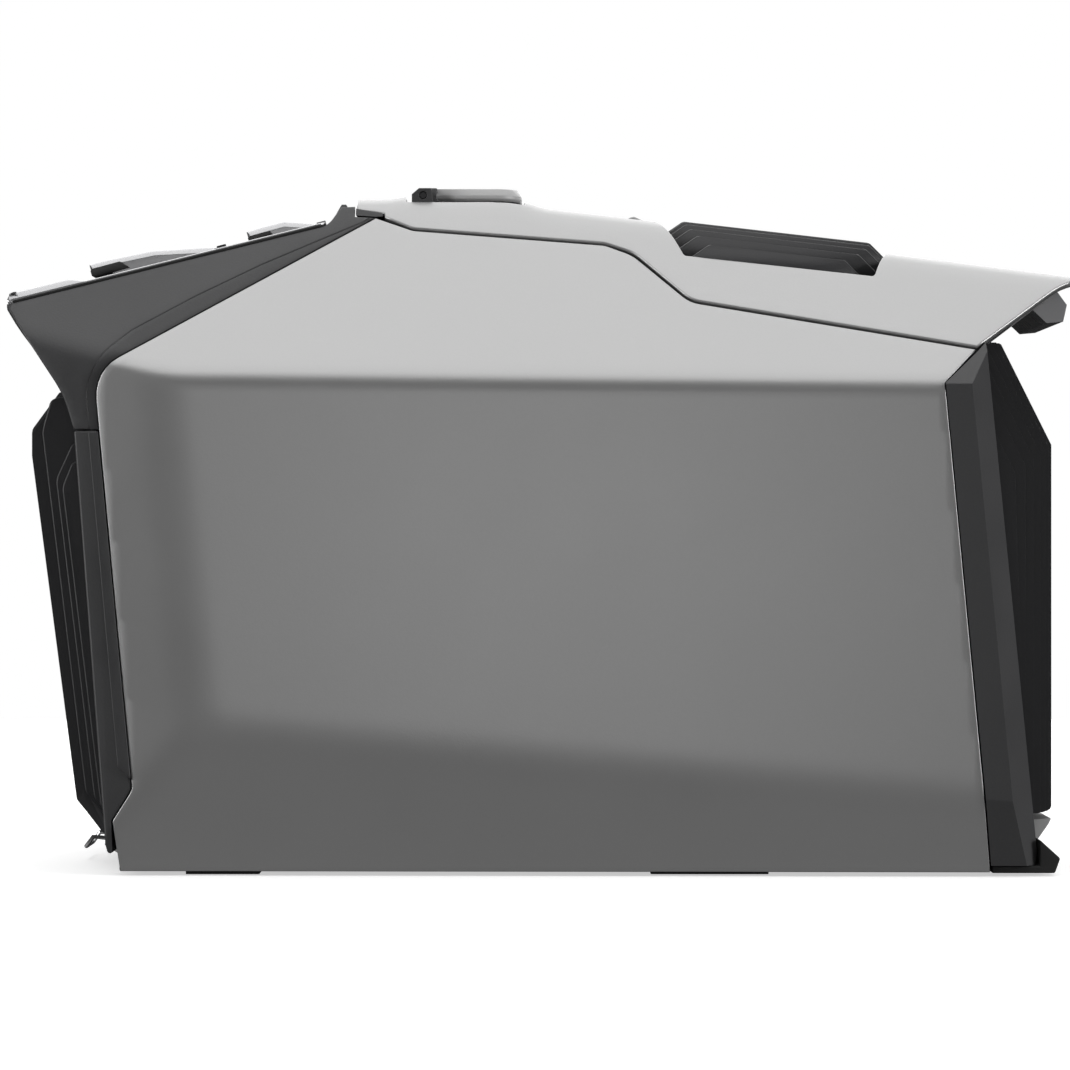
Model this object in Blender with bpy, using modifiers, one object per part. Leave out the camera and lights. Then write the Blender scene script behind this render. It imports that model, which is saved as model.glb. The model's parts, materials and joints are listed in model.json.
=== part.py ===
"""Portable power station: a folded grey casing with ribbed vents in front, on top and behind.

Metres, +Z up. -X is the front, where the sloping control console stands; -Y is the right flank.
The origin is the centre of the footprint, at the soles of the feet.
Run with: blender --background --python part.py
"""

import math

import bmesh
import bpy
from mathutils import Matrix, Vector

# Overall sizes
LENGTH = 0.511
WIDTH = 0.270
HEIGHT = 0.331

# Skins and gaps
WALL = 0.003
SHUT_LINE = 0.0014  # open seam between the side shells and the top cover
FIT = 0.0003  # gap between pieces that seat on each other
FOOT_HEIGHT = 0.002
FLANK_TILT = math.radians(40)  # shoulder, from vertical
SILL_TILT = math.radians(11)  # lower flank
NOSE_TILT = math.radians(12)  # flank's turn towards the front
FOLD_RADIUS = 0.009

# Vents
RIB_THICKNESS = 0.0024
RIB_PITCH = 0.009
VENT_HALF = 0.090  # half width of the front and rear openings
ROOF_VENT_HALF = 0.090  # half width of the roof opening
RIB_ARCH = 2.25
RAIL_WIDTH = 0.0052  # rails at both sides of each vent

# Control console, along the slope from its front edge
PLATE_THICKNESS = 0.0027
SEAL_THICKNESS = 0.0012
AC_FLAP_HALF = 0.078
DC_FLAP_HALF = 0.060
AC_HINGE = 0.0993
DC_HINGE = 0.1485
HINGE_RISE = 0.0026
PIN_RADIUS = 0.0010
BARREL_RADIUS = 0.0021
LUG_WIDTH = 0.0045
OUTLET_PITCH = 0.038
SOCKET_RADIUS = 0.0108

# Carrying handle
HANDLE_HALF = 0.052
HANDLE_ARM = 0.008
HANDLE_BAR = 0.012
HANDLE_THICKNESS = 0.0072
HANDLE_PIN_RADIUS = 0.0016
WELL_DEPTH = 0.0175
LUG = 0.0058

# Cooling fans
FAN_SIZE = 0.080
FAN_DEPTH = 0.025
FAN_BORE = 0.0375
FAN_BLADES = 7

# Battery
MODULE_LENGTH = 0.172
MODULE_WIDTH = 0.190
MODULE_HEIGHT = 0.104

FRONT = -LENGTH / 2
REAR = LENGTH / 2
HALF = WIDTH / 2
PARTS = "power_station"
CUTTERS = "cutters"


def front(distance, down):
    """A point in the side view, measured back from the nose and down from the top."""
    return (FRONT + distance, HEIGHT - down)


def front_low(distance, up):
    """A point in the side view, measured back from the nose and up from the ground."""
    return (FRONT + distance, up)


def rear(distance, down):
    """A point in the side view, measured forwards from the tail and down from the top."""
    return (REAR - distance, HEIGHT - down)


def rear_low(distance, up):
    """A point in the side view, measured forwards from the tail and up from the ground."""
    return (REAR - distance, up)


# Folds of the flank, as lines in the side view
SHOULDER_FOLD = (front(0.047, 0.0944), rear(0.065, 0.0986))
SILL_FOLD = (front_low(0.062, 0.0736), rear_low(0.047, 0.0369))
NOSE_FOLD = (front_low(0.098, 0.037), front(0.0771, 0.097))

# Corners that neighbouring pieces share
NECK = front(0.0351, 0.120)
NECK_BACK = front(0.0474, 0.120)
PILLAR_FOOT = front_low(0.0498, 0.0147)
HIP = front(0.0450, 0.0927)
HIP_RADIUS = 0.023
BROW = front(0.1758, 0.016)
SEAM_CREST = front(0.1939, 0.0225)
SEAM_BEND = rear(0.2242, 0.030)
SEAM_FALL = rear(0.2112, 0.035)
SEAM_FOOT = rear(0.1841, 0.0587)
TAIL_SEAM = rear(0.0495, 0.0819)
TAIL_HEEL = rear(0.0653, 0.0981)
TAIL_BACK = rear(0.0444, 0.0785)
TAIL_TIP = rear(0.0, 0.0455)
HEEL_FRONT = rear_low(0.0434, FOOT_HEIGHT)
HEEL_BACK = rear_low(0.0204, 0.005)
TOE = front_low(0.0567, FOOT_HEIGHT)
PLATE_FRONT = front(0.0059, 0.0591)
PLATE_BACK = front(0.1534, 0.0199)
SLOPE = math.atan2(PLATE_BACK[1] - PLATE_FRONT[1], PLATE_BACK[0] - PLATE_FRONT[0])
TAIL_SLOPE = math.atan2(TAIL_TIP[1] - TAIL_SEAM[1], TAIL_TIP[0] - TAIL_SEAM[0])
HANDLE_PIVOT = front(0.1984, 0.0041)
FRONT_OPENING = (0.0225, NECK[1] - 0.0065)
REAR_OPENING = (0.0240, TAIL_BACK[1] - 0.0053)
TOP_OPENING = (REAR - 0.199, REAR - 0.082)
VENT_NARROW = ROOF_VENT_HALF - 0.028  # half width of the roof opening's short ends
VENT_CORNER = 0.013

FINISHES = {
    "shell": ((0.36, 0.36, 0.36), 0.42, 0.0),
    "dark": ((0.045, 0.045, 0.047), 0.5, 0.0),
    "black": ((0.012, 0.012, 0.013), 0.45, 0.0),
    "gloss": ((0.02, 0.02, 0.022), 0.12, 0.0),
    "glass": ((0.01, 0.012, 0.014), 0.05, 0.0),
    "rubber": ((0.015, 0.015, 0.015), 0.8, 0.0),
    "steel": ((0.6, 0.6, 0.6), 0.3, 1.0),
    "alloy": ((0.7, 0.7, 0.72), 0.35, 1.0),
    "silver": ((0.5, 0.5, 0.5), 0.35, 0.0),
    "cell": ((0.05, 0.16, 0.32), 0.5, 0.0),
    "board": ((0.02, 0.16, 0.07), 0.5, 0.0),
}


# ---------------------------------------------------------------- scene


def clear_scene():
    for obj in list(bpy.data.objects):
        bpy.data.objects.remove(obj)


def collection(name):
    found = bpy.data.collections.get(name)
    if found is None:
        found = bpy.data.collections.new(name)
        bpy.context.scene.collection.children.link(found)
    return found


def material(finish):
    found = bpy.data.materials.get(finish)
    if found is None:
        color, roughness, metallic = FINISHES[finish]
        found = bpy.data.materials.new(finish)
        found.use_nodes = True
        shader = found.node_tree.nodes["Principled BSDF"]
        shader.inputs["Base Color"].default_value = (*color, 1)
        shader.inputs["Roughness"].default_value = roughness
        shader.inputs["Metallic"].default_value = metallic
    return found


def add_mesh(name, bm):
    """A new object from bm, with its faces pointing out, in the parts collection."""
    bmesh.ops.recalc_face_normals(bm, faces=bm.faces)
    mesh = bpy.data.meshes.new(name)
    bm.to_mesh(mesh)
    bm.free()
    obj = bpy.data.objects.new(name, mesh)
    collection(PARTS).objects.link(obj)
    return obj


def finish(obj, name):
    obj.data.materials.clear()
    obj.data.materials.append(material(name))
    obj.data.shade_smooth()
    obj.data.set_sharp_from_angle(angle=math.radians(25))
    return obj


def as_cutter(obj):
    collection(PARTS).objects.unlink(obj)
    collection(CUTTERS).objects.link(obj)
    obj.hide_render = True
    obj.display_type = "WIRE"
    return obj


def cut(obj, *cutters):
    for cutter in cutters:
        if cutter.name not in collection(CUTTERS).objects:
            as_cutter(cutter)
        modifier = obj.modifiers.new("Cut", "BOOLEAN")
        modifier.operation = "DIFFERENCE"
        modifier.object = cutter
    return obj


def join(obj, *others):
    for other in others:
        as_cutter(other)
        modifier = obj.modifiers.new("Join", "BOOLEAN")
        modifier.operation = "UNION"
        modifier.object = other
    return obj


def keep_inside(obj, room):
    as_cutter(room)
    modifier = obj.modifiers.new("Keep", "BOOLEAN")
    modifier.operation = "INTERSECT"
    modifier.object = room
    return obj


def round_edges(obj, width, segments=2, angle=30):
    modifier = obj.modifiers.new("Round", "BEVEL")
    modifier.width = width
    modifier.segments = segments
    modifier.limit_method = "ANGLE"
    modifier.angle_limit = math.radians(angle)
    modifier.use_clamp_overlap = True
    return obj


def pivot_at(obj, point):
    """Moves the object's origin to a point, such as one on its joint's axis."""
    obj.data.transform(Matrix.Translation(-Vector(point)))
    obj.location = point
    return obj


def parent_to(obj, empty):
    obj.parent = empty
    return obj


# ---------------------------------------------------------------- shapes


def rounded(corners, steps=4):
    """An outline whose corners (u, v, radius) are rounded with arcs; a corner of two numbers stays sharp."""
    points = []
    count = len(corners)
    for i, corner in enumerate(corners):
        here = Vector(corner[:2])
        radius = corner[2] if len(corner) > 2 else 0.0
        back = (Vector(corners[i - 1][:2]) - here)
        on = (Vector(corners[(i + 1) % count][:2]) - here)
        half = back.angle(on) / 2
        reach = min(radius / math.tan(half), 0.48 * min(back.length, on.length)) if radius else 0.0
        if reach <= 0:
            points.append(tuple(here))
            continue
        radius = reach * math.tan(half)
        centre = here + (back.normalized() + on.normalized()).normalized() * radius / math.sin(half)
        start = here + back.normalized() * reach - centre
        end = here + on.normalized() * reach - centre
        turn = start.angle_signed(end)
        for step in range(steps + 1):
            angle = -turn * step / steps
            cos, sin = math.cos(angle), math.sin(angle)
            points.append((centre.x + start.x * cos - start.y * sin, centre.y + start.x * sin + start.y * cos))
    return points


PLANES = {
    "X": Matrix(((0, 0, 1, 0), (1, 0, 0, 0), (0, 1, 0, 0), (0, 0, 0, 1))),
    "Y": Matrix(((1, 0, 0, 0), (0, 0, -1, 0), (0, 1, 0, 0), (0, 0, 0, 1))),
    "Z": Matrix.Identity(4),
}


def prism(name, outline, low, high, axis="Y"):
    """A flat outline extruded along an axis. Its two numbers are (X, Z) along Y, (Y, Z) along X and (X, Y) along Z."""
    curve = bpy.data.curves.new(name, "CURVE")
    curve.dimensions = "2D"
    curve.fill_mode = "BOTH"
    curve.extrude = (high - low) / 2
    spline = curve.splines.new("POLY")
    spline.points.add(len(outline) - 1)
    for point, (u, v) in zip(spline.points, outline):
        point.co = (u, v, 0, 1)
    spline.use_cyclic_u = True
    flat = bpy.data.objects.new(name + "_outline", curve)
    collection(PARTS).objects.link(flat)
    along = {"X": Vector((1, 0, 0)), "Y": Vector((0, 1, 0)), "Z": Vector((0, 0, 1))}[axis]
    flat.matrix_world = Matrix.Translation(along * (low + high) / 2) @ PLANES[axis]
    return mesh_from(flat, name)


def mesh_from(source, name):
    """The solid that a curve object makes, as a mesh object in its place."""
    bpy.context.view_layer.update()
    graph = bpy.context.evaluated_depsgraph_get()
    mesh = bpy.data.meshes.new_from_object(source.evaluated_get(graph))
    mesh.transform(source.matrix_world)
    curve = source.data
    bpy.data.objects.remove(source)
    bpy.data.curves.remove(curve)
    bm = bmesh.new()
    bm.from_mesh(mesh)
    bpy.data.meshes.remove(mesh)
    bmesh.ops.remove_doubles(bm, verts=bm.verts, dist=1e-6)
    return add_mesh(name, bm)


def box(name, low, high):
    bm = bmesh.new()
    size = Vector(high) - Vector(low)
    place = Matrix.Translation((Vector(high) + Vector(low)) / 2) @ Matrix.Diagonal((*size, 1))
    bmesh.ops.create_cube(bm, size=1.0, matrix=place)
    return add_mesh(name, bm)


def cylinder(name, radius, start, end, segments=20):
    bm = bmesh.new()
    along = Vector(end) - Vector(start)
    turn = along.to_track_quat("Z", "Y").to_matrix().to_4x4()
    place = Matrix.Translation((Vector(start) + Vector(end)) / 2) @ turn
    bmesh.ops.create_cone(
        bm, cap_ends=True, segments=segments, radius1=radius, radius2=radius, depth=along.length, matrix=place
    )
    return add_mesh(name, bm)


def edit(obj, change):
    bm = bmesh.new()
    bm.from_mesh(obj.data)
    change(bm)
    bmesh.ops.recalc_face_normals(bm, faces=bm.faces)
    bm.to_mesh(obj.data)
    bm.free()
    return obj


def trim(obj, point, normal):
    """Removes what lies outside a plane, and closes the cut."""

    def change(bm):
        everything = bm.verts[:] + bm.edges[:] + bm.faces[:]
        made = bmesh.ops.bisect_plane(
            bm, geom=everything, plane_co=point, plane_no=normal, clear_outer=True, dist=1e-7
        )
        edges = [e for e in made["geom_cut"] if isinstance(e, bmesh.types.BMEdge)]
        if edges:
            bmesh.ops.contextual_create(bm, geom=edges)

    return edit(obj, change)


def soften_folds(obj, radius, segments=4, top_radius=0.0):
    """Rounds the long folds of the flanks, and the edge between shoulder and top, but no outline edge."""

    def change(bm):
        bm.normal_update()
        folds, brows = [], []
        for edge in bm.edges:
            if len(edge.link_faces) != 2:
                continue
            a, b = (face.normal for face in edge.link_faces)
            if a.angle(b) < math.radians(4):
                continue
            if abs(a.y) > 0.3 and abs(b.y) > 0.3 and a.y * b.y > 0:
                folds.append(edge)
            elif min(abs(a.y), abs(b.y)) < 0.01 and 0.3 < max(abs(a.y), abs(b.y)) < 0.8:
                if min(a.z, b.z) > 0.5:
                    brows.append(edge)
        for edges, offset in ((folds, radius), (brows, top_radius)):
            edges = [e for e in edges if e.is_valid]
            if edges and offset:
                bmesh.ops.bevel(
                    bm, geom=edges, offset=offset, segments=segments, profile=0.5, affect="EDGES", clamp_overlap=True
                )
        bmesh.ops.remove_doubles(bm, verts=bm.verts, dist=1e-6)

    return edit(obj, change)


def soften_rim(obj, radius, segments=2):
    """Rounds the upper rim of a lid-like solid and the upright corners below it."""

    def change(bm):
        bm.normal_update()
        rim = []
        for edge in bm.edges:
            if len(edge.link_faces) != 2 or not edge.is_convex:
                continue
            a, b = (face.normal for face in edge.link_faces)
            if a.angle(b) > math.radians(50) and min(a.z, b.z) > -0.05:
                rim.append(edge)
        bmesh.ops.bevel(bm, geom=rim, offset=radius, segments=segments, profile=0.5, affect="EDGES", clamp_overlap=True)
        bmesh.ops.remove_doubles(bm, verts=bm.verts, dist=1e-6)

    return edit(obj, change)


def flank_planes(side):
    """The shoulder, sill and nose planes of one flank, as (point, outward normal)."""
    planes = []
    for (a, b), fall in (
        (SHOULDER_FOLD, Vector((0, -side * math.tan(FLANK_TILT), 1))),
        (SILL_FOLD, Vector((0, -side * math.tan(SILL_TILT), -1))),
        (NOSE_FOLD, Vector((-1, -side * math.tan(NOSE_TILT), 0))),
    ):
        along = Vector((b[0] - a[0], 0, b[1] - a[1]))
        normal = along.cross(fall).normalized()
        if normal.y * side < 0:
            normal.negate()
        planes.append((Vector((a[0], side * HALF, a[1])), normal))
    planes.append((Vector((0, side * HALF, 0)), Vector((0, side, 0))))
    return planes


def body_form(name, outline, inset=0.0, low=-HALF, high=HALF):
    """The body's solid inside a side outline: both flanks follow the folds, moved in by inset."""
    obj = prism(name, outline, low, high)
    for side in (-1, 1):
        if side * (high if side > 0 else low) < HALF - 1e-6:
            continue
        for point, normal in flank_planes(side):
            trim(obj, point - normal * inset, normal)
    return obj


def between(a, b, share):
    return (a[0] + (b[0] - a[0]) * share, a[1] + (b[1] - a[1]) * share)


def moved(point, distance, angle):
    return (point[0] + distance * math.cos(angle), point[1] + distance * math.sin(angle))


# ---------------------------------------------------------------- casing


def side_outline():
    """The side shell in the side view, without its gaps."""
    return rounded(
        [
            TOE,
            (*front_low(0.0534, 0.026), 0.003),
            (*front_low(0.0630, 0.041), 0.006),
            NECK_BACK,
            (*HIP, HIP_RADIUS),
            BROW,
            (*SEAM_CREST, 0.012),
            (*SEAM_BEND, 0.016),
            (*SEAM_FALL, 0.020),
            (*SEAM_FOOT, 0.016),
            TAIL_SEAM,
            (*TAIL_HEEL, 0.003),
            HEEL_FRONT,
        ],
        steps=3,
    )


def side_shell(name, side):
    """One flank: a folded skin, open towards the inside."""
    inner_limit = 0.040
    low, high = sorted((side * inner_limit, side * HALF))
    outer = soften_folds(body_form(name, side_outline(), 0.0, low, high), FOLD_RADIUS)
    reach = 0.02
    around = [
        (FRONT - reach, -reach),
        (REAR + reach, -reach),
        (REAR + reach, HEIGHT + reach),
        (FRONT - reach, HEIGHT + reach),
    ]
    low, high = sorted((side * (inner_limit - reach), side * HALF))
    hollow = soften_folds(body_form(name + "_hollow", around, WALL, low, high), FOLD_RADIUS)
    return finish(cut(outer, hollow), "shell")


def seam_above():
    """The lower edge of the top cover: the side shell's seam, raised by the shut line."""
    lift = SHUT_LINE
    return [
        (TAIL_SEAM[0] + 0.0009, TAIL_SEAM[1] + lift),
        (SEAM_FOOT[0] + 0.0006, SEAM_FOOT[1] + lift * 1.05, 0.016),
        (SEAM_FALL[0] + 0.0008, SEAM_FALL[1] + lift * 1.2, 0.020),
        (SEAM_BEND[0], SEAM_BEND[1] + lift, 0.016),
        (SEAM_CREST[0], SEAM_CREST[1] + lift, 0.012),
        (BROW[0] + 0.0045, BROW[1] + 0.0006),
        (BROW[0] + 0.0040, BROW[1] + 0.0028),
    ]


COVER_TOP = [
    front(0.1665, 0.006),
    front(0.1835, 0.006),
    front(0.1905, 0.004),
    front(0.2405, 0.004),
    front(0.2565, 0.0105),
    rear(0.204, 0.0167),
    rear(0.080, 0.0348),
    TAIL_TIP,
]


def cover_hollow(name, clearance=0.0):
    """The room inside the top cover, kept clear of its skin."""
    depth = WALL + clearance
    under = [(x, z - depth) for x, z in COVER_TOP[1:-1]]
    under[0] = (COVER_TOP[0][0] + depth, COVER_TOP[0][1] - depth)
    tail = moved(TAIL_TIP, -0.0045 - 1.5 * clearance, TAIL_SLOPE)
    outline = under + [tail, (REAR + 0.02, HEIGHT - 0.07), (REAR, 0.1), (FRONT + 0.1665 + depth, 0.1)]
    return soften_folds(body_form(name, outline, depth), FOLD_RADIUS, 3, top_radius=0.010)


def top_cover():
    """The lid skin: top and both shoulders down to the seam, ending in the overhanging tail."""
    outline = rounded(
        [COVER_TOP[0], (*COVER_TOP[1], 0.01), (*COVER_TOP[2], 0.01), (*COVER_TOP[3], 0.01), (*COVER_TOP[4], 0.03)]
        + [COVER_TOP[5], COVER_TOP[6], COVER_TOP[7]]
        + seam_above()
        + [(COVER_TOP[0][0], BROW[1] + 0.0053)],
        steps=3,
    )
    outer = soften_folds(body_form("top_cover", outline), FOLD_RADIUS, 3, top_radius=0.010)
    hollow = cover_hollow("top_cover_hollow")
    vent = prism("top_vent_cut", top_vent_outline(), HEIGHT - 0.081, HEIGHT + 0.01, "Z")
    bed_half = HANDLE_HALF + LUG + 2 * FIT
    slot_low = (handle_bed_x()[0] - FIT, -bed_half - FIT, HEIGHT - 0.0165)
    slot_high = (handle_bed_x()[1] + FIT, bed_half + FIT, HEIGHT + 0.01)
    slot = box("handle_slot_cut", slot_low, slot_high)
    return finish(cut(outer, hollow, vent, slot), "shell")


def top_vent_outline():
    """The roof vent's opening from above: a rectangle with cut corners."""
    first, last = TOP_OPENING
    wide, narrow, cut_back = ROOF_VENT_HALF + FIT, VENT_NARROW, VENT_CORNER
    return [
        (first, -narrow),
        (first + cut_back, -wide),
        (last - cut_back, -wide),
        (last, -narrow),
        (last, narrow),
        (last - cut_back, wide),
        (first + cut_back, wide),
        (first, narrow),
    ]


def handle_bed_x():
    return FRONT + 0.1905, FRONT + 0.2475


def handle_bed():
    """Dark tray let into the roof: it carries the handle's hinge and gives the fingers room."""
    first, last = handle_bed_x()
    top = HEIGHT - 0.0095
    floor = top - WELL_DEPTH - 0.0025
    outline = [(first, floor), (last, floor), (last, top), (first, top)]
    bed = body_form("handle_bed", outline, FIT)
    for side in (-1, 1):
        trim(bed, (0, side * (HANDLE_HALF + LUG + 2 * FIT), 0), (0, side, 0))
    arm = HANDLE_HALF - HANDLE_ARM
    well = box("handle_well_cut", (first + 0.013, -arm + 0.003, top - WELL_DEPTH), (last - 0.002, arm - 0.003, top + 0.01))
    x, z = HANDLE_PIVOT
    lug = [(x - 0.0055, top - 0.002), (x - 0.0055, z + 0.0005), (x - 0.002, z + 0.0035), (x + 0.004, z + 0.0035)]
    lug += [(x + 0.0055, top - 0.002)]
    lugs = []
    for side in (-1, 1):
        low, high = sorted((side * (HANDLE_HALF + FIT), side * (HANDLE_HALF + FIT + LUG)))
        lugs.append(prism(f"handle_lug_{side}", lug, low, high))
    rod_hole = cylinder(
        "handle_rod_cut", HANDLE_PIN_RADIUS + FIT, (x, -HALF, z), (x, HALF, z), 16
    )
    return finish(cut(join(bed, *lugs), well, rod_hole), "dark")


def handle():
    """The fold-up carrying handle: two arms and a bar, lying flat in its bed."""
    x, z = HANDLE_PIVOT
    last = handle_bed_x()[1] - 0.001
    low = HEIGHT - HANDLE_THICKNESS
    outline = rounded(
        [(x - 0.0035, -HANDLE_HALF), (last, -HANDLE_HALF, 0.006), (last, HANDLE_HALF, 0.006), (x - 0.0035, HANDLE_HALF)]
        + [(x - 0.0035, HANDLE_HALF - HANDLE_ARM), (last - HANDLE_BAR, HANDLE_HALF - HANDLE_ARM, 0.004)]
        + [(last - HANDLE_BAR, HANDLE_ARM - HANDLE_HALF, 0.004), (x - 0.0035, HANDLE_ARM - HANDLE_HALF)],
        steps=3,
    )
    loop = round_edges(prism("handle", outline, low, HEIGHT, "Z"), 0.0018, 2, 60)
    hole = cylinder("handle_bore_cut", HANDLE_PIN_RADIUS + FIT, (x, -HALF, z), (x, HALF, z), 16)
    return pivot_at(finish(cut(loop, hole), "gloss"), (x, 0, z))


def handle_rod():
    x, z = HANDLE_PIVOT
    reach = HANDLE_HALF + LUG
    return finish(cylinder("handle_rod", HANDLE_PIN_RADIUS, (x, -reach, z), (x, reach, z), 16), "steel")


def console_outline(inset=0.0):
    """The console in the side view: sloping top, hollow throat, and the diagonal edge that meets the side shell."""
    drop = PLATE_THICKNESS + SEAL_THICKNESS + 2 * FIT
    nose = front(-0.0006, 0.0625)
    top_front = moved((PLATE_FRONT[0] - 0.0035, PLATE_FRONT[1] - 0.0009), drop, SLOPE - math.pi / 2)
    top_back = moved(between(PLATE_FRONT, PLATE_BACK, 1.018), drop, SLOPE - math.pi / 2)
    gap = 0.0006
    if inset:
        return rounded(
            [
                moved(top_front, 0.010, SLOPE),
                (front(0.160, 0)[0], HEIGHT + 0.02),
                (front(0.18, 0)[0], BROW[1]),
                (NECK_BACK[0] + 0.045, NECK_BACK[1]),
                (NECK_BACK[0] + 0.03, NECK[1] - 0.01),
                (NECK[0] + inset, NECK[1] - 0.01),
                (NECK[0] + inset, NECK[1] + 0.004),
                (NECK[0] - 0.005 + inset, NECK[1] + 0.0165, 0.030),
            ],
            steps=4,
        )
    return rounded(
        [
            (*nose, 0.0012),
            (*top_front, 0.0015),
            (*top_back, 0.004),
            (front(0.1615, 0)[0], HEIGHT - 0.0115, 0.001),
            (front(0.1655, 0)[0], HEIGHT - 0.0115),
            (front(0.1655, 0)[0], BROW[1] + 0.0010),
            (BROW[0] - 0.0009, BROW[1] + 0.0002),
            (HIP[0] - gap, HIP[1] + gap, HIP_RADIUS),
            (NECK_BACK[0] - gap, NECK_BACK[1]),
            NECK,
            (NECK[0] - 0.005, NECK[1] + 0.0165, 0.045),
        ],
        steps=4,
    )


def console_housing():
    """The dark front housing whose sides run up under the sloping control plate."""
    outer = soften_folds(body_form("console_housing", console_outline()), 0.006, 3)
    hollow = soften_folds(body_form("console_hollow", console_outline(WALL), WALL), 0.006, 3)
    return finish(cut(outer, hollow), "dark")


def plate_outline(drop, thickness):
    """A layer that lies on the console's slope and turns up at its back end."""
    lower = drop + thickness
    nose = moved(PLATE_FRONT, -0.0025, SLOPE)
    points = [
        (*moved(nose, lower - 0.0004, SLOPE - math.pi / 2), 0.0008),
        (*moved(nose, drop + 0.0012, SLOPE - math.pi / 2), 0.001),
        (*moved(PLATE_FRONT, drop, SLOPE - math.pi / 2), 0.003),
    ]
    up_front, up_back = front(0.1589 + 0.9 * drop, 0.009 + drop), front(0.1589 + 0.9 * drop + thickness, 0.009 + drop)
    back_top = moved(PLATE_BACK, drop, SLOPE - math.pi / 2)
    back_low = moved(moved(PLATE_BACK, lower, SLOPE - math.pi / 2), 0.0026, SLOPE)
    points += [(*back_top, 0.008), (*up_front, 0.0005), (*up_back, 0.0005), (*back_low, 0.008)]
    return rounded(points, steps=3)


def panel_frame():
    """Empty on the control plate's surface: X up the slope, Y across, Z out of the plate."""
    empty = bpy.data.objects.new("panel_frame", None)
    collection(PARTS).objects.link(empty)
    empty.location = (PLATE_FRONT[0], 0, PLATE_FRONT[1])
    empty.rotation_euler = (0, -SLOPE, 0)
    bpy.context.view_layer.update()
    return empty


def panel_cut(name, empty, low, high):
    return parent_to(box(name, low, high), empty)


FLAPS = (("ac", AC_HINGE, 0.064), ("dc", DC_HINGE, 0.046))
OUTLET_U = 0.0700
DC_U = 0.1330
BUTTON_U = 0.0180
POWER_U = 0.1070
POWER_RADIUS = 0.0043
OUTLET_SIZE = (0.034, 0.028)
USB_SIZE = (0.016, 0.030)
USB_ACROSS = 0.036
BUTTON_SIZE = (0.012, 0.018)
BUTTON_ACROSS = 0.062


def lug_box(name, empty, hinge, barrel_half, side):
    low = (hinge - 0.0022, side * (barrel_half + 2 * FIT), -0.0012)
    high = (hinge + 0.0022, side * (barrel_half + 2 * FIT + LUG_WIDTH), HINGE_RISE + 0.0020)
    corners = [tuple(min(a, b) for a, b in zip(low, high)), tuple(max(a, b) for a, b in zip(low, high))]
    return parent_to(box(name, *corners), empty)


def panel_plate(empty):
    """The control plate, with its openings and the lugs of the two flap hinges."""
    plate = body_form("panel_plate", plate_outline(0.0, PLATE_THICKNESS), FIT)
    lugs, cutters = [], []
    for name, hinge, barrel_half in FLAPS:
        for side in (-1, 1):
            lugs.append(lug_box(f"{name}_lug_{side}", empty, hinge, barrel_half, side))
        bore = cylinder(
            f"{name}_lug_bore", PIN_RADIUS + FIT, (hinge, -HALF, HINGE_RISE), (hinge, HALF, HINGE_RISE), 14
        )
        cutters.append(parent_to(bore, empty))
    for i in range(4):
        across = (i - 1.5) * OUTLET_PITCH
        half_u, half_v = OUTLET_SIZE[0] / 2 + FIT, OUTLET_SIZE[1] / 2 + FIT
        low, high = (OUTLET_U - half_u, across - half_v, -0.01), (OUTLET_U + half_u, across + half_v, 0.01)
        cutters.append(panel_cut(f"outlet_cut_{i}", empty, low, high))
    for side in (-1, 1):
        half_u, half_v = USB_SIZE[0] / 2 + FIT, USB_SIZE[1] / 2 + FIT
        across = side * USB_ACROSS
        low, high = (DC_U - half_u, across - half_v, -0.01), (DC_U + half_u, across + half_v, 0.01)
        cutters.append(panel_cut(f"usb_cut_{side}", empty, low, high))
        half_u, half_v = BUTTON_SIZE[0] / 2 + FIT, BUTTON_SIZE[1] / 2 + FIT
        across = side * BUTTON_ACROSS
        low, high = (BUTTON_U - half_u, across - half_v, -0.01), (BUTTON_U + half_u, across + half_v, 0.01)
        cutters.append(panel_cut(f"button_cut_{side}", empty, low, high))
    socket = cylinder("socket_cut", SOCKET_RADIUS + 0.0032 + FIT, (DC_U, 0, -0.01), (DC_U, 0, 0.01), 24)
    power = cylinder("power_cut", POWER_RADIUS + FIT, (POWER_U, 0, -0.01), (POWER_U, 0, 0.01), 20)
    cutters += [parent_to(socket, empty), parent_to(power, empty)]
    return finish(cut(join(plate, *lugs), *cutters), "black")


def panel_seal(empty):
    """Black gasket between the control plate and the housing: its edge is the dark line under the plate."""
    drop, across = PLATE_THICKNESS + FIT, SLOPE - math.pi / 2
    start, end = moved(PLATE_FRONT, -0.0012, SLOPE), moved(PLATE_FRONT, 0.1525, SLOPE)
    outline = [moved(start, drop, across), moved(end, drop, across)]
    outline += [moved(end, drop + SEAL_THICKNESS, across), moved(start, drop + SEAL_THICKNESS, across)]
    seal = body_form("panel_seal", outline, 0.0011)
    window = prism(
        "seal_window_cut", [(0.004, -0.0985), (0.004, 0.0985), (0.1488, 0.0665), (0.1488, -0.0665)], -0.02, 0.02, "Z"
    )
    return finish(cut(seal, parent_to(window, empty)), "rubber")


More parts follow.
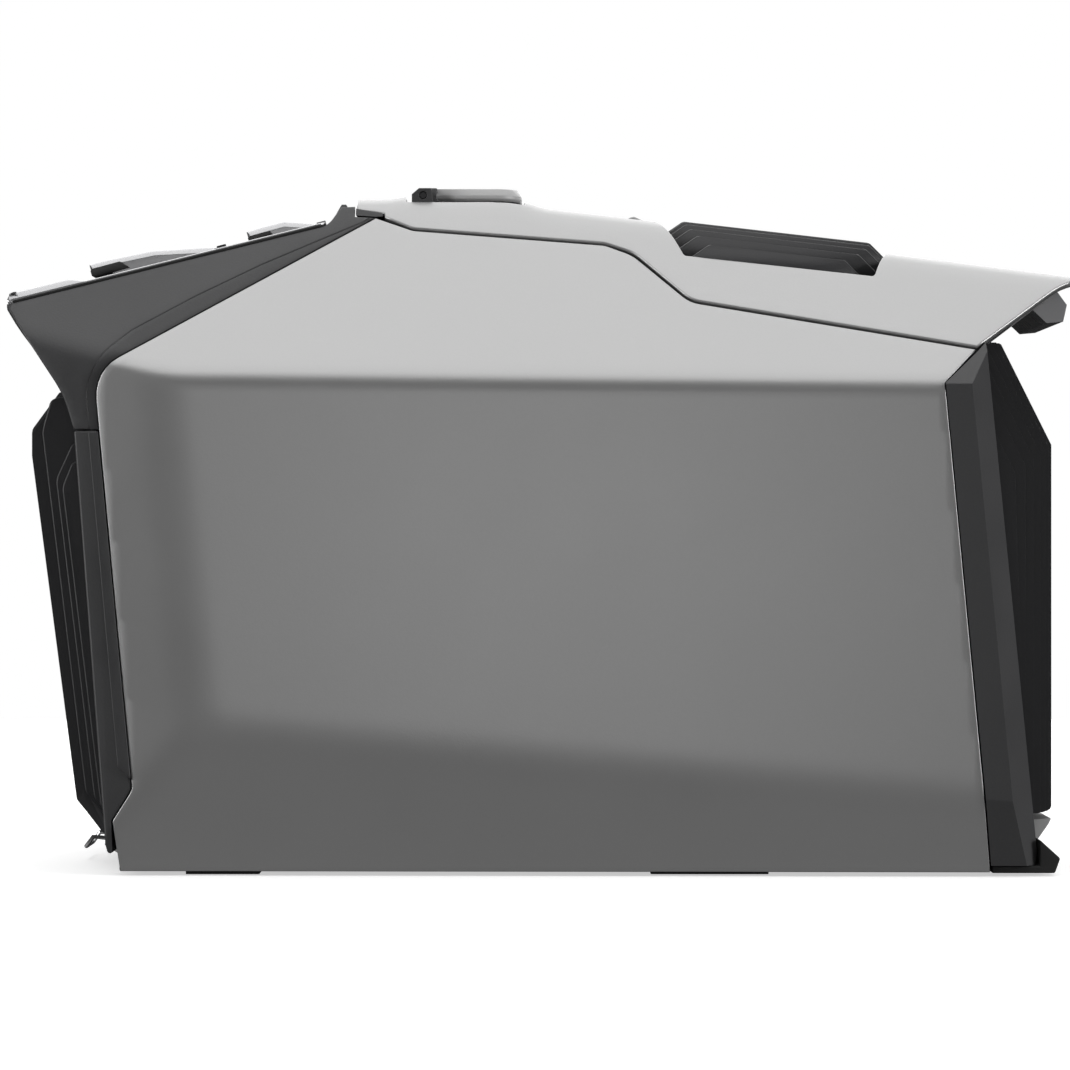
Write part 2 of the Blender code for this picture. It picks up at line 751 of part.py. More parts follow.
FLAP_SHAPES = {
    "ac": [(-0.0638, 0.0078), (-0.0638, 0.0122), (-0.0333, 0.0109), (-0.0093, 0.0062), (-0.0034, 0.0048)]
    + [(-0.0034, 0.0006), (-0.0528, 0.0006), (-0.0553, 0.0078)],
    "dc": [(-0.0362, 0.0046), (-0.0362, 0.0095), (-0.0175, 0.0097), (-0.0065, 0.0060), (-0.0034, 0.0048)]
    + [(-0.0034, 0.0006), (-0.0280, 0.0006), (-0.0300, 0.0046)],
}
FLAP_HOLLOWS = {
    "ac": [(-0.0506, -0.002), (-0.0506, 0.0094), (-0.0333, 0.0087), (-0.0100, 0.0042), (-0.0056, 0.0033), (-0.0056, -0.002)],
    "dc": [(-0.0258, -0.002), (-0.0258, 0.0075), (-0.0180, 0.0076), (-0.0080, 0.0042), (-0.0056, 0.0033), (-0.0056, -0.002)],
}


def flap(name, empty, half, hinge, barrel_half):
    """A hooded splash cover: raised finger lip in front, hinge barrel behind."""
    wall = 0.0022
    shape = [(hinge + u, w) for u, w in FLAP_SHAPES[name]]
    hood = soften_rim(prism(f"{name}_flap", shape, -half, half), 0.0012)
    hollow_shape = [(hinge + u, w) for u, w in FLAP_HOLLOWS[name]]
    hollow = prism(f"{name}_flap_hollow", hollow_shape, -half + wall, half - wall)
    knuckle = [(hinge - 0.0046, HINGE_RISE + 0.0016), (hinge - 0.0046, HINGE_RISE - 0.0014)]
    for step in range(11):
        angle = math.radians(-112 + 18.5 * step + 10)
        knuckle.append((hinge + BARREL_RADIUS * math.cos(angle), HINGE_RISE + BARREL_RADIUS * math.sin(angle)))
    barrel = prism(f"{name}_barrel", knuckle, -barrel_half, barrel_half)
    bore = cylinder(f"{name}_bore", PIN_RADIUS + FIT, (hinge, -half, HINGE_RISE), (hinge, half, HINGE_RISE), 14)
    cut(hood, hollow)
    cut(join(hood, barrel), bore)
    finish(hood, "gloss")
    for piece in (hood, barrel, hollow, bore):
        parent_to(pivot_at(piece, (hinge, 0, HINGE_RISE)), empty)
    return hood


def flap_pin(name, empty, hinge, barrel_half):
    reach = barrel_half + 2 * FIT + LUG_WIDTH
    pin = cylinder(f"{name}_hinge_pin", PIN_RADIUS, (hinge, -reach, HINGE_RISE), (hinge, reach, HINGE_RISE), 14)
    return parent_to(finish(pin, "steel"), empty)


def ac_outlet(empty, index):
    """Three-pin outlet: its face fills the plate's opening and its flange bears on the plate from behind."""
    across = (index - 1.5) * OUTLET_PITCH
    half_u, half_v = OUTLET_SIZE[0] / 2, OUTLET_SIZE[1] / 2
    name = f"ac_outlet_{index + 1}"
    face = box(name, (OUTLET_U - half_u, across - half_v, -0.020), (OUTLET_U + half_u, across + half_v, 0.0004))
    under = -PLATE_THICKNESS - FIT
    flange = box(
        f"{name}_flange",
        (OUTLET_U - half_u - 0.003, across - half_v - 0.0035, under - 0.0022),
        (OUTLET_U + half_u + 0.003, across + half_v + 0.0035, under),
    )
    slots = []
    for sign, length in ((-1, 0.0072), (1, 0.0086)):
        centre = across + sign * 0.0064
        low = (OUTLET_U + 0.001 - length / 2, centre - 0.0011, -0.012)
        high = (OUTLET_U + 0.001 + length / 2, centre + 0.0011, 0.01)
        slots.append(box(f"{name}_slot_{sign}", low, high))
    slots.append(cylinder(f"{name}_earth", 0.0024, (OUTLET_U - 0.0095, across, -0.012), (OUTLET_U - 0.0095, across, 0.01), 14))
    for piece in (flange, *slots):
        parent_to(piece, empty)
    return parent_to(finish(cut(join(face, flange), *slots), "black"), empty)


def usb_module(empty, name, side, ports, port_size):
    """A block of USB ports behind the plate."""
    across = side * USB_ACROSS
    half_u, half_v = USB_SIZE[0] / 2, USB_SIZE[1] / 2
    under = -PLATE_THICKNESS - FIT
    block = box(name, (DC_U - half_u, across - half_v, -0.016), (DC_U + half_u, across + half_v, 0.0004))
    flange = box(
        f"{name}_flange",
        (DC_U - half_u - 0.002, across - half_v - 0.002, under - 0.002),
        (DC_U + half_u + 0.002, across + half_v + 0.002, under),
    )
    holes = []
    for i in range(ports):
        centre = across + (i - (ports - 1) / 2) * 0.0145
        low = (DC_U - port_size[0] / 2, centre - port_size[1] / 2, -0.012)
        high = (DC_U + port_size[0] / 2, centre + port_size[1] / 2, 0.01)
        holes.append(box(f"{name}_port_{i}", low, high))
    for piece in (flange, *holes):
        parent_to(piece, empty)
    return parent_to(finish(cut(join(block, flange), *holes), "black"), empty)


def car_socket(empty):
    """Round 12 V socket: an open barrel behind the plate."""
    outer = SOCKET_RADIUS + 0.0016
    barrel = cylinder("car_socket", outer, (DC_U, 0, -0.040), (DC_U, 0, 0.0004), 24)
    rim = cylinder("car_socket_rim", outer + 0.0025, (DC_U, 0, -PLATE_THICKNESS - 0.0025), (DC_U, 0, -PLATE_THICKNESS - FIT), 24)
    bore = cylinder("car_socket_bore", SOCKET_RADIUS, (DC_U, 0, -0.036), (DC_U, 0, 0.01), 24)
    for piece in (rim, bore):
        parent_to(piece, empty)
    return parent_to(finish(cut(join(barrel, rim), bore), "black"), empty)


def square_button(empty, name, side):
    """A push button held by its flange behind the plate."""
    half_u, half_v = BUTTON_SIZE[0] / 2, BUTTON_SIZE[1] / 2
    across = side * BUTTON_ACROSS
    gap = FIT
    under = -PLATE_THICKNESS - FIT
    cap = box(name, (BUTTON_U - half_u + gap, across - half_v + gap, under - 0.001), (BUTTON_U + half_u - gap, across + half_v - gap, 0.0016))
    round_edges(cap, 0.0009, 2)
    flange = box(
        f"{name}_flange",
        (BUTTON_U - half_u - 0.0008, across - half_v - 0.001, under - 0.0014),
        (BUTTON_U + half_u + 0.0008, across + half_v + 0.001, under),
    )
    join(cap, flange)
    parent_to(flange, empty)
    return parent_to(finish(cap, "gloss"), empty)


def power_button(empty):
    """The round main switch between the two flaps."""
    cap = cylinder("power_button", POWER_RADIUS, (POWER_U, 0, -0.004), (POWER_U, 0, 0.0026), 24)
    round_edges(cap, 0.0008, 2)
    rim = cylinder("power_rim", POWER_RADIUS + 0.0015, (POWER_U, 0, -0.0046), (POWER_U, 0, -PLATE_THICKNESS - FIT), 24)
    join(cap, rim)
    parent_to(rim, empty)
    return parent_to(finish(cap, "silver"), empty)


def display_lens(empty):
    lens = box("display_lens", (0.0035, -0.042, FIT), (0.0325, 0.042, 0.0030))
    return parent_to(finish(round_edges(lens, 0.0016, 3), "glass"), empty)


def seam_strip(name, side):
    """Dark strip behind the seam: it ties the side shell to the top cover and blinds the open gap."""
    line = [(SEAM_CREST[0] - 0.0040, SEAM_CREST[1] + 0.0014), SEAM_CREST, SEAM_BEND, SEAM_FALL, SEAM_FOOT]
    line.append(between(SEAM_FOOT, TAIL_SEAM, 0.845))
    outline = [(x, z + SHUT_LINE + 0.0045) for x, z in line] + [(x, z - 0.0050) for x, z in reversed(line)]
    around = [(FRONT, 0.0), (REAR, 0.0), (REAR, HEIGHT + 0.01), (FRONT, HEIGHT + 0.01)]
    low, high = sorted((side * 0.045, side * HALF))
    strip = body_form(name, outline, WALL + FIT, low, high)
    low, high = sorted((side * 0.040, side * HALF))
    inner = body_form(f"{name}_inner", around, WALL + FIT + 0.0018, low, high)
    return finish(keep_inside(cut(strip, inner), cover_hollow(f"{name}_room", FIT)), "black")


def console_trim():
    """Dark strip that closes the step between the console and the top cover."""
    outline = [
        (FRONT + 0.1660, BROW[1] + 0.0013),
        (FRONT + 0.1660, BROW[1] + 0.0050),
        (BROW[0] + 0.0036, BROW[1] + 0.0024),
        (BROW[0] + 0.0034, BROW[1] + 0.0008),
        (BROW[0] + 0.0004, BROW[1] + 0.0006),
    ]
    trim_bar = body_form("console_trim", outline, 0.0)
    return finish(trim_bar, "black")


def front_frame():
    """The dark frame round the front vent: two posts, a sill and a head."""
    gap = 0.0005
    depth = 0.0135
    outline = rounded(
        [
            (NECK[0], NECK[1] - gap),
            (NECK_BACK[0] - gap, NECK_BACK[1] - gap),
            (*front_low(0.0630 - gap, 0.041), 0.006),
            (*front_low(0.0534 - gap, 0.026), 0.003),
            (TOE[0] - gap - 0.0030, 0.0105),
            (PILLAR_FOOT[0] + 0.001, 0.0105),
            PILLAR_FOOT,
        ],
        steps=3,
    )
    frame = body_form("front_frame", outline)
    half = VENT_HALF + FIT
    opening = box("front_opening_cut", (FRONT, -half, FRONT_OPENING[0]), (FRONT + 0.1, half, FRONT_OPENING[1]))
    return finish(cut(round_edges(frame, 0.0012, 2, 40), opening), "dark")


def rear_frame():
    """The dark frame round the rear vent, with a chamfer down each corner."""
    gap = 0.0005
    skin = 0.0035
    outline = [
        (TAIL_HEEL[0] + gap, TAIL_HEEL[1]),
        (TAIL_SEAM[0] + 0.0012, TAIL_SEAM[1] - 0.0008),
        (TAIL_BACK[0], TAIL_BACK[1]),
        (HEEL_BACK[0], 0.0120),
        (HEEL_BACK[0] - 0.001, FOOT_HEIGHT + 0.0032),
        (HEEL_FRONT[0] + gap, FOOT_HEIGHT + 0.0032),
    ]
    frame = soften_folds(body_form("rear_frame", outline), FOLD_RADIUS, 3)
    slant = (HEEL_BACK[0] - TAIL_BACK[0]) / (HEEL_BACK[1] - TAIL_BACK[1])
    far = 0.08
    inner = [
        (TAIL_BACK[0] - skin - far, TAIL_HEEL[1] - 0.0035),
        (TAIL_BACK[0] + slant * -0.02 - skin, TAIL_HEEL[1] - 0.0035),
        (HEEL_BACK[0] - skin, 0.0120),
        (HEEL_BACK[0] - skin - far, 0.0120),
    ]
    hollow = body_form("rear_frame_hollow", inner, WALL)
    along = Vector((HEEL_BACK[0] - TAIL_BACK[0], 0, HEEL_BACK[1] - TAIL_BACK[1]))
    for side in (-1, 1):
        normal = along.cross(Vector((1.0, -side * 1.35, 0))).normalized()
        if normal.y * side < 0:
            normal.negate()
        corner = Vector((TAIL_BACK[0] - 0.0085, side * (HALF - 0.002), TAIL_BACK[1]))
        trim(frame, corner, normal)
        trim(hollow, corner - normal * skin, normal)
    half = VENT_HALF + FIT
    opening = box("rear_opening_cut", (REAR - 0.12, -half, REAR_OPENING[0]), (REAR, half, REAR_OPENING[1]))
    return finish(cut(frame, hollow, opening), "dark")


def base_tray():
    """The floor pan that carries the battery and closes the shells from below."""
    top = FOOT_HEIGHT + 0.0155
    inset = WALL + FIT
    start, end = FRONT + 0.0560, REAR - 0.0455
    floor = FOOT_HEIGHT
    outline = [(start, floor), (end, floor), (end, top), (start, top)]
    pan = body_form("base_tray", outline, inset)
    inner = [(start + 0.003, floor + 0.003), (end - 0.003, floor + 0.003), (end - 0.003, top + 0.01), (start + 0.003, top + 0.01)]
    hollow = body_form("base_tray_hollow", inner, inset + 0.0025)
    return finish(cut(pan, hollow), "black")


# ---------------------------------------------------------------- vents


def ribs_per_side(half):
    """How many ribs stand between the middle one and the rail of a vent this wide."""
    return int((half - RAIL_WIDTH - RIB_THICKNESS) / RIB_PITCH)


def vent(name, rib_outline, bars, rails, edge, half):
    """Parallel ribs on cross bars and two side rails, joined into one moulding. The outer ribs stand back by edge."""
    bm = bmesh.new()
    ribs = ribs_per_side(half)
    for across in (i * RIB_PITCH for i in range(-ribs, ribs + 1)):
        back = edge * (abs(across) / (RIB_PITCH * (ribs + 0.5))) ** RIB_ARCH
        outline = rib_outline(back, abs(across))
        sides = []
        for y in (across - RIB_THICKNESS / 2, across + RIB_THICKNESS / 2):
            sides.append(bm.faces.new([bm.verts.new((x, y, z)) for x, z in outline]))
        bmesh.ops.bridge_loops(bm, edges=[e for face in sides for e in face.edges])
    ribs = add_mesh(name, bm)
    pieces = []
    for i, (bar, reach) in enumerate(bars):
        pieces.append(prism(f"{name}_bar_{i}", bar, -reach, reach))
    for side in (-1, 1):
        low, high = sorted((side * (half - RAIL_WIDTH), side * half))
        pieces.append(prism(f"{name}_rail_{side}", rails, low, high))
    return finish(join(ribs, *pieces), "black")


def front_line(z):
    """X of the front frame's face at a height."""
    share = (z - PILLAR_FOOT[1]) / (NECK[1] - PILLAR_FOOT[1])
    return PILLAR_FOOT[0] + (NECK[0] - PILLAR_FOOT[0]) * share


def rear_line(z):
    """X of the rear frame's face at a height."""
    share = (z - HEEL_BACK[1]) / (TAIL_BACK[1] - HEEL_BACK[1])
    return HEEL_BACK[0] + (TAIL_BACK[0] - HEEL_BACK[0]) * share


VENT_BACK = 0.0075  # how far the ribs reach back inside the frame
UNDER_TAIL = 0.0042  # room kept below the tail's cut for its panel


def console_face(z):
    """X of the console's overhanging front at a height, just in front of its surface."""
    a, b, c = NECK, (NECK[0] - 0.005, NECK[1] + 0.0165), front(0.0, 0.0625)
    if z < b[1]:
        return a[0] + (b[0] - a[0]) * (z - a[1]) / (b[1] - a[1]) - 0.0012
    return b[0] + (c[0] - b[0]) * (z - b[1]) / (c[1] - b[1]) - 0.0018


def front_rib(back, across):
    """Side view of a front rib: a long leaning face between two chamfers."""
    top, low = FRONT_OPENING[1] - 0.0012, FRONT_OPENING[0] + 0.0012
    crest = HEIGHT - 0.0985 - 0.95 * back
    crest_x = min(FRONT + 0.0162 + back, console_face(crest) - 0.0010)
    face = min(FRONT + 0.0027 + back, crest_x - 0.0008)
    foot_x = min(FRONT + 0.0252 + 0.80 * back, front_line(0.030) - 0.0010)
    toe_x = min(FRONT + 0.0377 + 0.60 * back, front_line(0.0157) - 0.0018)
    return rounded(
        [
            (front_line(low) + VENT_BACK, low),
            (front_line(low) - 0.0010, low),
            (front_line(0.0167) - 0.0010, 0.0167),
            (toe_x, 0.0157),
            (foot_x, 0.0298 + 0.4 * back, 0.003),
            (face, HEIGHT - 0.1295 - 0.7 * back, 0.004),
            (face, HEIGHT - 0.1170 - 0.8 * back, 0.004),
            (crest_x, crest, 0.0005),
            (console_face(crest), crest),
            (NECK[0] - 0.0012, NECK[1]),
            (front_line(top) - 0.0012, top),
            (front_line(top) + VENT_BACK, top),
        ],
        steps=2,
    )


def tail_clear(z):
    """X beyond which a level line passes clear below the tail panel."""
    return TAIL_SEAM[0] + (z - TAIL_SEAM[1] + UNDER_TAIL) / math.tan(TAIL_SLOPE)


def rear_rib(back, across):
    """Side view of a rear rib: an upright face, a long chamfer, and a crest close under the tail."""
    top, low = REAR_OPENING[1] - 0.0012, REAR_OPENING[0] + 0.0012
    face, turn = REAR - 0.0008 - back, HEIGHT - 0.1245 - 0.6 * back
    lean, slant = 0.50, (TAIL_BACK[0] - HEEL_BACK[0]) / (TAIL_BACK[1] - HEEL_BACK[1])
    rise = math.tan(TAIL_SLOPE)
    at_panel = TAIL_SEAM[1] - UNDER_TAIL + rise * (face + lean * turn - TAIL_SEAM[0])
    crest = min(HEIGHT - 0.0750, at_panel / (1 + rise * lean), turn + (face - rear_line(turn) - 0.0022) / (lean + slant))
    crest_x = face - lean * (crest - turn)
    shelf_x = max(rear_line(crest) + 0.0012, min(tail_clear(crest), crest_x - 0.0006))
    return rounded(
        [
            (rear_line(low) - VENT_BACK, low),
            (max(rear_line(low) + 0.0010, face), low, 0.0015),
            (face, turn, 0.001),
            (crest_x, crest),
            (shelf_x, crest),
            (rear_line(crest) + 0.0012, max(min(crest, TAIL_BACK[1] - 0.0030), top)),
            (rear_line(top) + 0.0010, top),
            (rear_line(top) - VENT_BACK, top),
        ],
        steps=2,
    )


TOP_RIB_FRONT = rear(0.1985, 0.0245)
TOP_RIB_CREST = rear(0.184, 0.0142)
TOP_RIB_FALL = rear(0.105, 0.0232)
TOP_RIB_END = rear(0.0845, 0.0345)


def top_rib(back, across):
    """Side view of a roof rib: a flat-topped ridge with two sloping ends."""
    inset = 0.45 * back
    cut_back = VENT_CORNER * max(0.0, across + RIB_THICKNESS - VENT_NARROW) / (ROOF_VENT_HALF - VENT_NARROW)
    first, last = TOP_OPENING[0] + 0.0012 + cut_back, TOP_OPENING[1] - 0.0012 - cut_back
    return rounded(
        [
            (first, TOP_RIB_FRONT[1] - 0.024),
            (first, TOP_RIB_FRONT[1] - back),
            (TOP_RIB_CREST[0] + inset, TOP_RIB_CREST[1] - back, 0.002),
            (TOP_RIB_FALL[0] - inset * 0.6, TOP_RIB_FALL[1] - back, 0.002),
            (last, max(TOP_RIB_END[1] - 0.019, TOP_RIB_END[1] - back)),
            (last, TOP_RIB_END[1] - 0.022),
        ],
        steps=2,
    )


def slab(centre, half_u, half_v):
    u, v = centre
    return [(u - half_u, v - half_v), (u + half_u, v - half_v), (u + half_u, v + half_v), (u - half_u, v + half_v)]


def upright_parts(line, opening, depth):
    """Bars and rails of an upright vent: depth runs from the frame's face to the middle of the bars."""
    low, high = opening[0] + FIT, opening[1] - FIT
    heights = [low + 0.0031, low + (high - low) / 3, low + (high - low) * 2 / 3, high - 0.0031]
    bars = [(slab((line(z) + depth, z), 0.0024, 0.0024), VENT_HALF - 0.001) for z in heights]
    ends = [(line(low) + depth, low), (line(high) + depth, high)]
    rails = [(ends[0][0] - 0.0029, low), (ends[0][0] + 0.0029, low), (ends[1][0] + 0.0029, high)]
    rails.append((ends[1][0] - 0.0029, high))
    return bars, rails


def front_vent():
    bars, rails = upright_parts(front_line, FRONT_OPENING, 0.0040)
    return vent("front_vent", front_rib, bars, rails, 0.0215, VENT_HALF)


def rear_vent():
    bars, rails = upright_parts(rear_line, REAR_OPENING, -0.0040)
    return vent("rear_vent", rear_rib, bars, rails, 0.0290, VENT_HALF)


def top_vent():
    """The roof vent sinks below the roof at its sides, where it follows the shoulders."""
    drop = 0.0215
    a, b = TOP_RIB_FRONT, TOP_RIB_END
    bars = []
    for i in range(4):
        x = TOP_OPENING[0] + FIT + 0.0024 + (TOP_OPENING[1] - TOP_OPENING[0] - 2 * FIT - 0.0048) * i / 3
        z = a[1] + (b[1] - a[1]) * (x - a[0]) / (b[0] - a[0]) - drop
        half = VENT_NARROW - 2 * FIT if i in (0, 3) else ROOF_VENT_HALF - 0.001
        bars.append((slab((x, z), 0.0024, 0.0024), half))
    rails = []
    for x, rise in ((0, -0.0032), (1, -0.0032), (1, 0.0032), (0, 0.0032)):
        x = (TOP_OPENING[0] + VENT_CORNER + FIT) if x == 0 else (TOP_OPENING[1] - VENT_CORNER - FIT)
        rails.append((x, a[1] + (b[1] - a[1]) * (x - a[0]) / (b[0] - a[0]) - drop + rise))
    return vent("top_vent", top_rib, bars, rails, 0.0195, ROOF_VENT_HALF)


def top_vent_latch():
    """Small release tab at the front edge of the roof vent."""
    x, z = COVER_TOP[5]
    outline = [(x - 0.0120, z + 0.00185), (x + 0.0052, z - 0.0005), (x + 0.0052, z + 0.0012)]
    outline += [(x - 0.0045, z + 0.0056), (x - 0.0065, z + 0.0052)]
    tab = prism("top_vent_latch", outline, -0.011, 0.011)
    return finish(tab, "silver")


# ---------------------------------------------------------------- tail, feet and catches


def tail_frame():
    """Empty on the tail's sloping underside: X up the slope, Z towards the roof."""
    empty = bpy.data.objects.new("tail_frame", None)
    collection(PARTS).objects.link(empty)
    empty.location = (TAIL_SEAM[0], 0, TAIL_SEAM[1])
    empty.rotation_euler = (0, -TAIL_SLOPE, 0)
    bpy.context.view_layer.update()
    return empty


DOOR_HINGE = 0.0290
DOOR_LAST = 0.0552
DOOR_HALF = 0.072
DOOR_PIN_RADIUS = 0.0009
DOOR_BARREL_RADIUS = 0.0019
DOOR_SET = (-0.0020, 0.0006)  # the door's lower and upper face, from the tail's cut
PANEL_SET = (-0.0018, 0.0012)


def tail_panel(empty):
    """Inclined panel that closes the tail from below and frames the door of the charging inlets."""
    up = TAIL_SLOPE + math.pi / 2
    start, end = moved(TAIL_SEAM, 0.0070, TAIL_SLOPE), moved(TAIL_TIP, -0.0056, TAIL_SLOPE)
    inner_end = moved(TAIL_TIP, -0.0100, TAIL_SLOPE)
    outline = [
        moved(start, PANEL_SET[0], up),
        moved(end, PANEL_SET[0], up),
        moved(end, PANEL_SET[0] + 0.0010, up),
        moved(inner_end, PANEL_SET[1], up),
        moved(start, PANEL_SET[1], up),
    ]
    panel = body_form("tail_panel", outline, WALL + FIT)
    for side in (-1, 1):
        trim(panel, (TAIL_TIP[0] - 0.0056, side * 0.0835, 0), (0.9, side, 0))
    half = DOOR_HALF + FIT
    low = (DOOR_HINGE - DOOR_BARREL_RADIUS - FIT, -half, -0.01)
    opening = parent_to(box("tail_opening_cut", low, (DOOR_LAST + FIT, half, 0.02)), empty)
    pin = (DOOR_HINGE, sum(DOOR_SET) / 2)
    bosses = []
    for side in (-1, 1):
        near, far = sorted((side * half, side * (half + 0.0050)))
        boss = box(f"tail_boss_{side}", (pin[0] - 0.0026, near, 0.0), (pin[0] + 0.0026, far, pin[1] + 0.0030))
        bosses.append(parent_to(boss, empty))
    reach = half + 0.0042
    bore = cylinder("tail_bore", DOOR_PIN_RADIUS + FIT, (pin[0], -reach, pin[1]), (pin[0], reach, pin[1]), 14)
    return finish(cut(join(panel, *bosses), opening, parent_to(bore, empty)), "dark")


def input_door(empty):
    """Hinged splash door over the charging inlets, with a wedge-shaped pull."""
    pin = (DOOR_HINGE, sum(DOOR_SET) / 2)
    plate = box("input_door", (pin[0], -DOOR_HALF, DOOR_SET[0]), (DOOR_LAST, DOOR_HALF, DOOR_SET[1]))
    pull_outline = [(0.0400, -0.0010), (0.0419, -0.0118), (0.0488, -0.0160), (0.0551, -0.0105), (0.0551, -0.0010)]
    pull = prism("input_door_pull", pull_outline, -0.060, 0.060)
    barrel = cylinder(
        "input_door_barrel", DOOR_BARREL_RADIUS, (pin[0], -DOOR_HALF, pin[1]), (pin[0], DOOR_HALF, pin[1]), 16
    )
    bore = cylinder("input_door_bore", DOOR_PIN_RADIUS + FIT, (pin[0], -HALF, pin[1]), (pin[0], HALF, pin[1]), 14)
    cut(join(plate, pull, barrel), bore)
    for piece in (plate, pull, barrel, bore):
        parent_to(pivot_at(piece, (pin[0], 0, pin[1])), empty)
    return finish(plate, "gloss")


def input_bay(empty):
    """Dark pocket behind the door that holds the inlets."""
    wall = 0.0018
    base = PANEL_SET[1] + FIT
    outline = [(0.0225, base), (0.0225, 0.0125), (0.0410, 0.0125), (0.0485, 0.0056), (0.0520, base)]
    inner = [(0.0243, 0.0), (0.0243, 0.0107), (0.0402, 0.0107), (0.0472, 0.0042), (0.0494, 0.0)]
    bay = prism("input_bay", outline, -DOOR_HALF + 0.0005, DOOR_HALF - 0.0005)
    hollow = prism("input_bay_hollow", inner, -DOOR_HALF + 0.0005 + wall, DOOR_HALF - 0.0005 - wall)
    parent_to(hollow, empty)
    return parent_to(finish(cut(bay, hollow), "dark"), empty)


def input_pin(empty):
    height = sum(DOOR_SET) / 2
    reach = DOOR_HALF + 0.0040
    start, end = (DOOR_HINGE, -reach, height), (DOOR_HINGE, reach, height)
    return parent_to(finish(cylinder("input_door_pin", DOOR_PIN_RADIUS, start, end, 14), "steel"), empty)


def ac_inlet(empty):
    """Mains charging inlet with its recess."""
    block = box("ac_inlet", (0.0262, -0.052, 0.0034), (0.0398, -0.024, 0.0104))
    recess = box("ac_inlet_recess", (0.0280, -0.049, 0.0), (0.0380, -0.027, 0.0086))
    parent_to(recess, empty)
    return parent_to(finish(cut(block, recess), "black"), empty)


def solar_inlet(empty):
    """Two-pole solar input."""
    block = box("solar_inlet", (0.0270, 0.018, 0.0034), (0.0395, 0.048, 0.0104))
    holes = []
    for i, across in enumerate((0.026, 0.040)):
        hole = cylinder(f"solar_pole_{i}", 0.0040, (0.0333, across, 0.0), (0.0333, across, 0.0086), 16)
        holes.append(parent_to(hole, empty))
    return parent_to(finish(cut(block, *holes), "black"), empty)


FEET = {"front": (FRONT + 0.087, 0.035), "rear": (REAR - 0.203, 0.056)}
FOOT_WIDTH = 0.016


def foot(name, first, length, side):
    outer = HALF - 0.0225
    low, high = sorted((side * (outer - FOOT_WIDTH), side * outer))
    pad = box(name, (first, low, 0.0), (first + length, high, FOOT_HEIGHT - FIT))
    return finish(pad, "rubber")


def rear_bumper(name, side):
    """Rubber heel under each rear corner."""
    back = HEEL_BACK[0]
    ground = FOOT_HEIGHT - 0.0005
    outline = [
        (HEEL_FRONT[0] + 0.001, ground),
        (back + 0.0080, ground),
        (back + 0.0105, 0.0085),
        (back + 0.0006, 0.0175),
        (back + 0.0006, FOOT_HEIGHT + 0.0029),
        (HEEL_FRONT[0] + 0.001, FOOT_HEIGHT + 0.0029),
    ]
    outer = HALF - 0.009
    low, high = sorted((side * (outer - 0.024), side * outer))
    heel = round_edges(prism(name, outline, low, high), 0.0008, 2, 50)
    return finish(heel, "rubber")


CATCH_PIVOT = front_low(0.0425, 0.0105)
BAIL_RADIUS = 0.0011


def front_catch():
    """Pale bracket under the front vent that carries the wire bail."""
    x, z = CATCH_PIVOT
    outline = [(FRONT + 0.0557, 0.0030), (FRONT + 0.0557, 0.0102), (x + 0.0068, 0.0102), (x + 0.0066, 0.0140)]
    outline += [(x - 0.0030, 0.0138), (x - 0.0035, 0.0070), (x + 0.0030, 0.0030)]
    bracket = prism("front_catch", outline, -0.015, 0.015)
    bore = cylinder("front_catch_bore", BAIL_RADIUS + FIT, (x, -0.05, z), (x, 0.05, z), 14)
    return finish(cut(bracket, bore), "silver")


def front_bail():
    """Wire bail that hooks over an accessory below the station."""
    x, z = CATCH_PIVOT
    half, reach = 0.0175, 0.0090
    path = [(x, -0.0165, z), (x, -half, z), (x - reach, -half, z + 0.0008), (x - reach - 0.0035, -half, z - 0.0040)]
    path += [(px, -py, pz) for px, py, pz in reversed(path)]
    curve = bpy.data.curves.new("front_bail", "CURVE")
    curve.dimensions = "3D"
    curve.bevel_depth = BAIL_RADIUS
    curve.bevel_resolution = 2
    curve.use_fill_caps = True
    spline = curve.splines.new("POLY")
    spline.points.add(len(path) - 1)
    for point, place in zip(spline.points, path):
        point.co = (*place, 1)
    wire = bpy.data.objects.new("front_bail_wire", curve)
    collection(PARTS).objects.link(wire)
    bail = mesh_from(wire, "front_bail")
    axle = cylinder("front_bail_axle", BAIL_RADIUS, (x, -0.0172, z), (x, 0.0172, z), 12)
    join(bail, axle)
    for piece in (bail, axle):
        pivot_at(piece, (x, 0, z))
    return finish(bail, "steel")


def rear_lip():
    """Pale ledge under the rear vent, the partner of the front catch."""
    x = HEEL_BACK[0]
    outline = [(x + 0.0006, 0.0085), (x + 0.0006, 0.0205), (x + 0.0170, 0.0215), (x + 0.0155, 0.0185), (x + 0.0085, 0.0085)]
    return finish(prism("rear_lip", outline, -0.034, 0.034), "silver")


# ---------------------------------------------------------------- inside


FLOOR = FOOT_HEIGHT + 0.003 + FIT
SHELF = FLOOR + MODULE_HEIGHT + 2 * FIT + 0.0020


def battery_module(name, side):
    """Block of cells on the floor pan, one of a pair."""
    first, last = sorted((side * FIT, side * (MODULE_LENGTH + FIT)))
    block = box(name, (first, -MODULE_WIDTH / 2, FLOOR), (last, MODULE_WIDTH / 2, FLOOR + MODULE_HEIGHT))
    return finish(round_edges(block, 0.003, 2), "cell")


